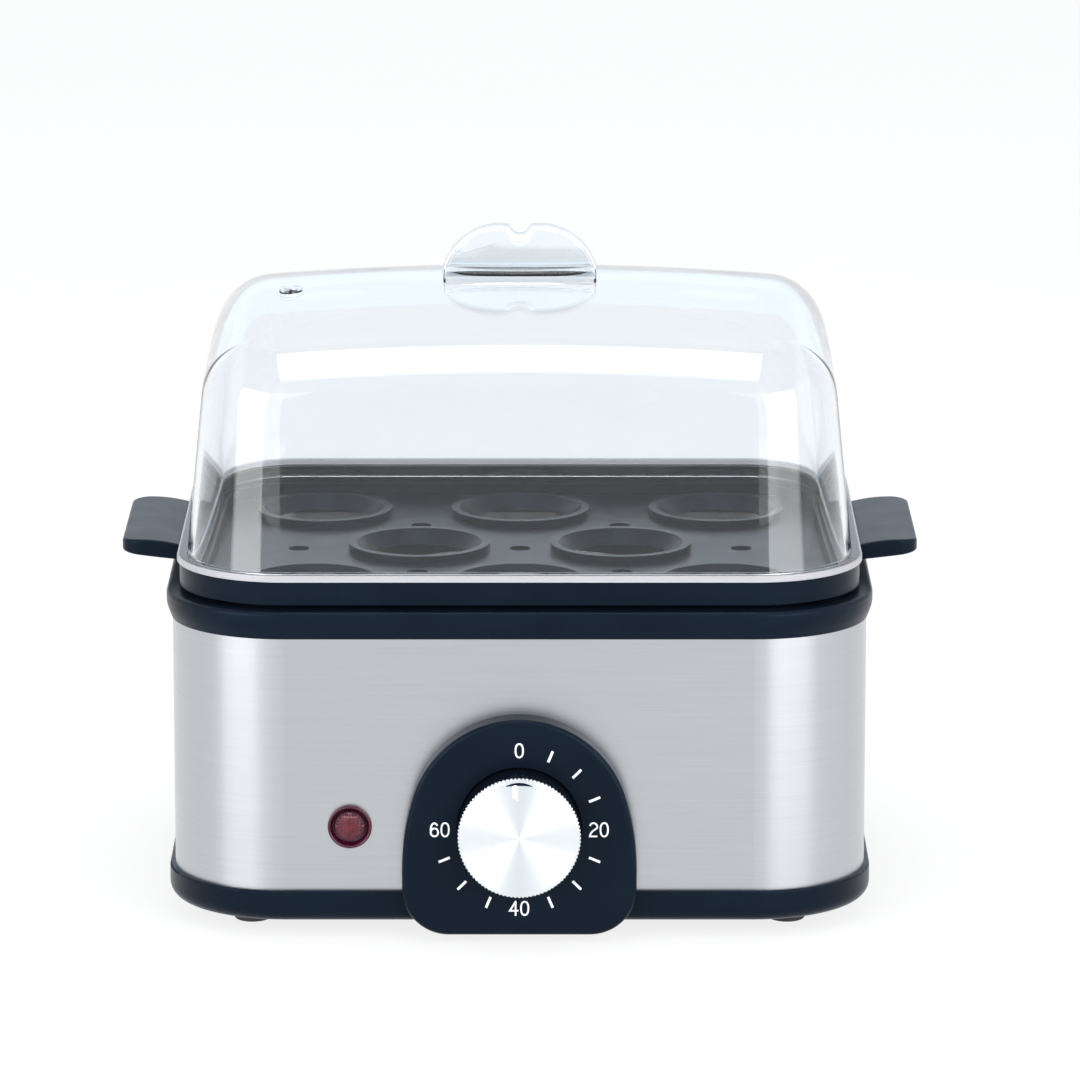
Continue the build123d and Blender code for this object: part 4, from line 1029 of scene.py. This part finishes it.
finishes = {
    "black_plastic": moulded_plastic("black_plastic", (0.0035, 0.007, 0.0135), 0.3, gloss=0.16, tint=navy),
    "matte_black": moulded_plastic("matte_black", (0.02, 0.022, 0.026), 0.5),
    # Pale milky finishes on the cover's edges: painted highlights.
    "flange_painted_highlight": painted_highlight_plastic("flange_painted_highlight", (0.62, 0.60, 0.63)),
    "grip_painted_highlight": painted_highlight_plastic("grip_painted_highlight", (0.79, 0.83, 0.87)),
    "white_print": moulded_plastic("white_print", (0.86, 0.88, 0.90), 0.4, spread=0.03),
    "pointer_white": moulded_plastic("pointer_white", (0.93, 0.95, 0.96), 0.4, spread=0.02),
    "white_plastic": moulded_plastic("white_plastic", (0.75, 0.75, 0.73), 0.4, spread=0.04),
    "knob_plastic": moulded_plastic("knob_plastic", (0.003, 0.005, 0.010), 0.3, gloss=0.2, tint=navy),
    "phenolic": moulded_plastic("phenolic", (0.09, 0.05, 0.03), 0.45),
    "lead_insulation": moulded_plastic("lead_insulation", (0.6, 0.58, 0.52), 0.5, spread=0.05),
    "sleeve_steel": brushed_steel(),
    "zinc_steel": plain_metal("zinc_steel", (0.55, 0.56, 0.58), 0.35),
    "plate_steel": plain_metal("plate_steel", (0.6, 0.6, 0.6)),
    "heater_steel": plain_metal("heater_steel", (0.2, 0.19, 0.18), 0.5),
    "fuse_case": plain_metal("fuse_case", (0.65, 0.65, 0.65)),
    "bell_chrome": plain_metal("bell_chrome", (0.7, 0.7, 0.7), 0.12),
    "contact_brass": plain_metal("contact_brass", (0.65, 0.45, 0.16)),
    "shaft_brass": plain_metal("shaft_brass", (0.65, 0.45, 0.16), 0.25),
    "knob_aluminium": spun_aluminium(),
    "foot_rubber": rubber("foot_rubber", (0.03, 0.03, 0.033)),
    "silicone": rubber("silicone", (0.4, 0.4, 0.38)),
    "red_lens": red_moulding("red_lens", (0.125, 0.005, 0.02)),
    # A darker copy of the lens's red for its rim and groove: painted shade for the dark ring round the
    # lens.
    "lens_rim_painted_shade": red_moulding("lens_rim_painted_shade", (0.078, 0.006, 0.026)),
    "neon_glass": clear_plastic("neon_glass", (0.95, 0.93, 0.9)),
    "clear_plastic": clear_plastic("clear_plastic", (0.955, 0.98, 1.0), 0.015),
}


def camera():
    """The camera, placed and turned as it was fitted to the photograph."""
    data = bpy.data.cameras.new("camera")
    data.lens = camera_lens
    data.sensor_width = camera_sensor
    data.clip_end = camera_reach
    piece = bpy.data.objects.new("camera", data)
    bpy.context.scene.collection.objects.link(piece)
    piece.location = Vector(camera_place) * MM
    piece.rotation_euler = (radians(90 - camera_pitch_deg), 0, 0)
    bpy.context.scene.camera = piece


def for_rays(tree, rays):
    """One for the named kinds of rays, otherwise zero."""
    path = tree.nodes.new("ShaderNodeLightPath")
    share = path.outputs[rays[0]]
    for ray in rays[1:]:
        most = tree.nodes.new("ShaderNodeMath")
        most.operation = "MAXIMUM"
        tree.links.new(share, most.inputs[0])
        tree.links.new(path.outputs[ray], most.inputs[1])
        share = most.outputs["Value"]
    return share


def area_light(name, place, aim, size, power, colour):
    """A soft box that faces a point."""
    data = bpy.data.lights.new(name, "AREA")
    data.shape = "RECTANGLE"
    data.size, data.size_y = size
    data.energy = power
    data.color = colour
    light = bpy.data.objects.new(name, data)
    bpy.context.scene.collection.objects.link(light)
    light.location = place
    light.rotation_euler = (Vector(aim) - Vector(place)).to_track_quat("-Z", "Y").to_euler()


def studio_world():
    """White where it is seen or shows through, otherwise a pale surround with a darker patch in front."""
    world = bpy.data.worlds.new("studio")
    bpy.context.scene.world = world
    world.use_nodes = True
    tree = world.node_tree
    mix = tree.nodes.new("ShaderNodeMix")
    mix.data_type = "RGBA"
    place = tree.nodes.new("ShaderNodeTexCoord")
    facing = tree.nodes.new("ShaderNodeVectorMath")
    facing.operation = "DOT_PRODUCT"
    facing.inputs[1].default_value = Vector(gap_direction).normalized()
    tree.links.new(place.outputs["Generated"], facing.inputs[0])
    tree.links.new(ramp(tree, facing.outputs["Value"], surround, front_gap, gap_cosines), mix.inputs["A"])
    mix.inputs["B"].default_value = (*white, 1)
    tree.links.new(for_rays(tree, ("Is Camera Ray", "Is Transmission Ray")), mix.inputs["Factor"])
    tree.links.new(mix.outputs["Result"], tree.nodes["Background"].inputs["Color"])


def floor_material():
    """Pale matt floor that keeps shadows, lifted towards white where it is seen or mirrored."""
    material, tree, shader = node_material("floor")
    tree.links.new(ramp(tree, noise(tree, 3), *floor_shades), shader.inputs["Base Color"])
    shader.inputs["Roughness"].default_value = floor_rough
    shader.inputs["Specular IOR Level"].default_value = 0.0
    glow = tree.nodes.new("ShaderNodeEmission")
    share = tree.nodes.new("ShaderNodeMath")
    share.operation = "MULTIPLY"
    share.inputs[1].default_value = floor_white
    seen = for_rays(tree, ("Is Camera Ray", "Is Transmission Ray", "Is Glossy Ray"))
    tree.links.new(seen, share.inputs[0])
    blend = tree.nodes.new("ShaderNodeMixShader")
    tree.links.new(share.outputs["Value"], blend.inputs["Fac"])
    tree.links.new(shader.outputs["BSDF"], blend.inputs[1])
    tree.links.new(glow.outputs["Emission"], blend.inputs[2])
    tree.links.new(blend.outputs["Shader"], tree.nodes["Material Output"].inputs["Surface"])
    return material


def studio():
    """White surround, pale floor, and soft boxes whose bands show on the steel's corners and the cover."""
    studio_world()
    for box in soft_boxes:
        area_light(*box)
    corners = [(x * floor_half, y * floor_half, 0) for x, y in ((-1, -1), (1, -1), (1, 1), (-1, 1))]
    mesh = bpy.data.meshes.new("floor")
    mesh.from_pydata(corners, [], [(0, 1, 2, 3)])
    mesh.materials.append(floor_material())
    floor = bpy.data.objects.new("floor", mesh)
    bpy.context.scene.collection.objects.link(floor)


for entry in frame["record"]["subparts"]:
    paint(nodes[entry["node"]], finishes[entry["material_slot"]])
cover()
knob_face()
knob_knurl()
knob_pointer()
lamp_lens()
lens_pyramids()
print_on_panel()
camera()
studio()
bpy.context.scene.view_settings.view_transform = "Standard"
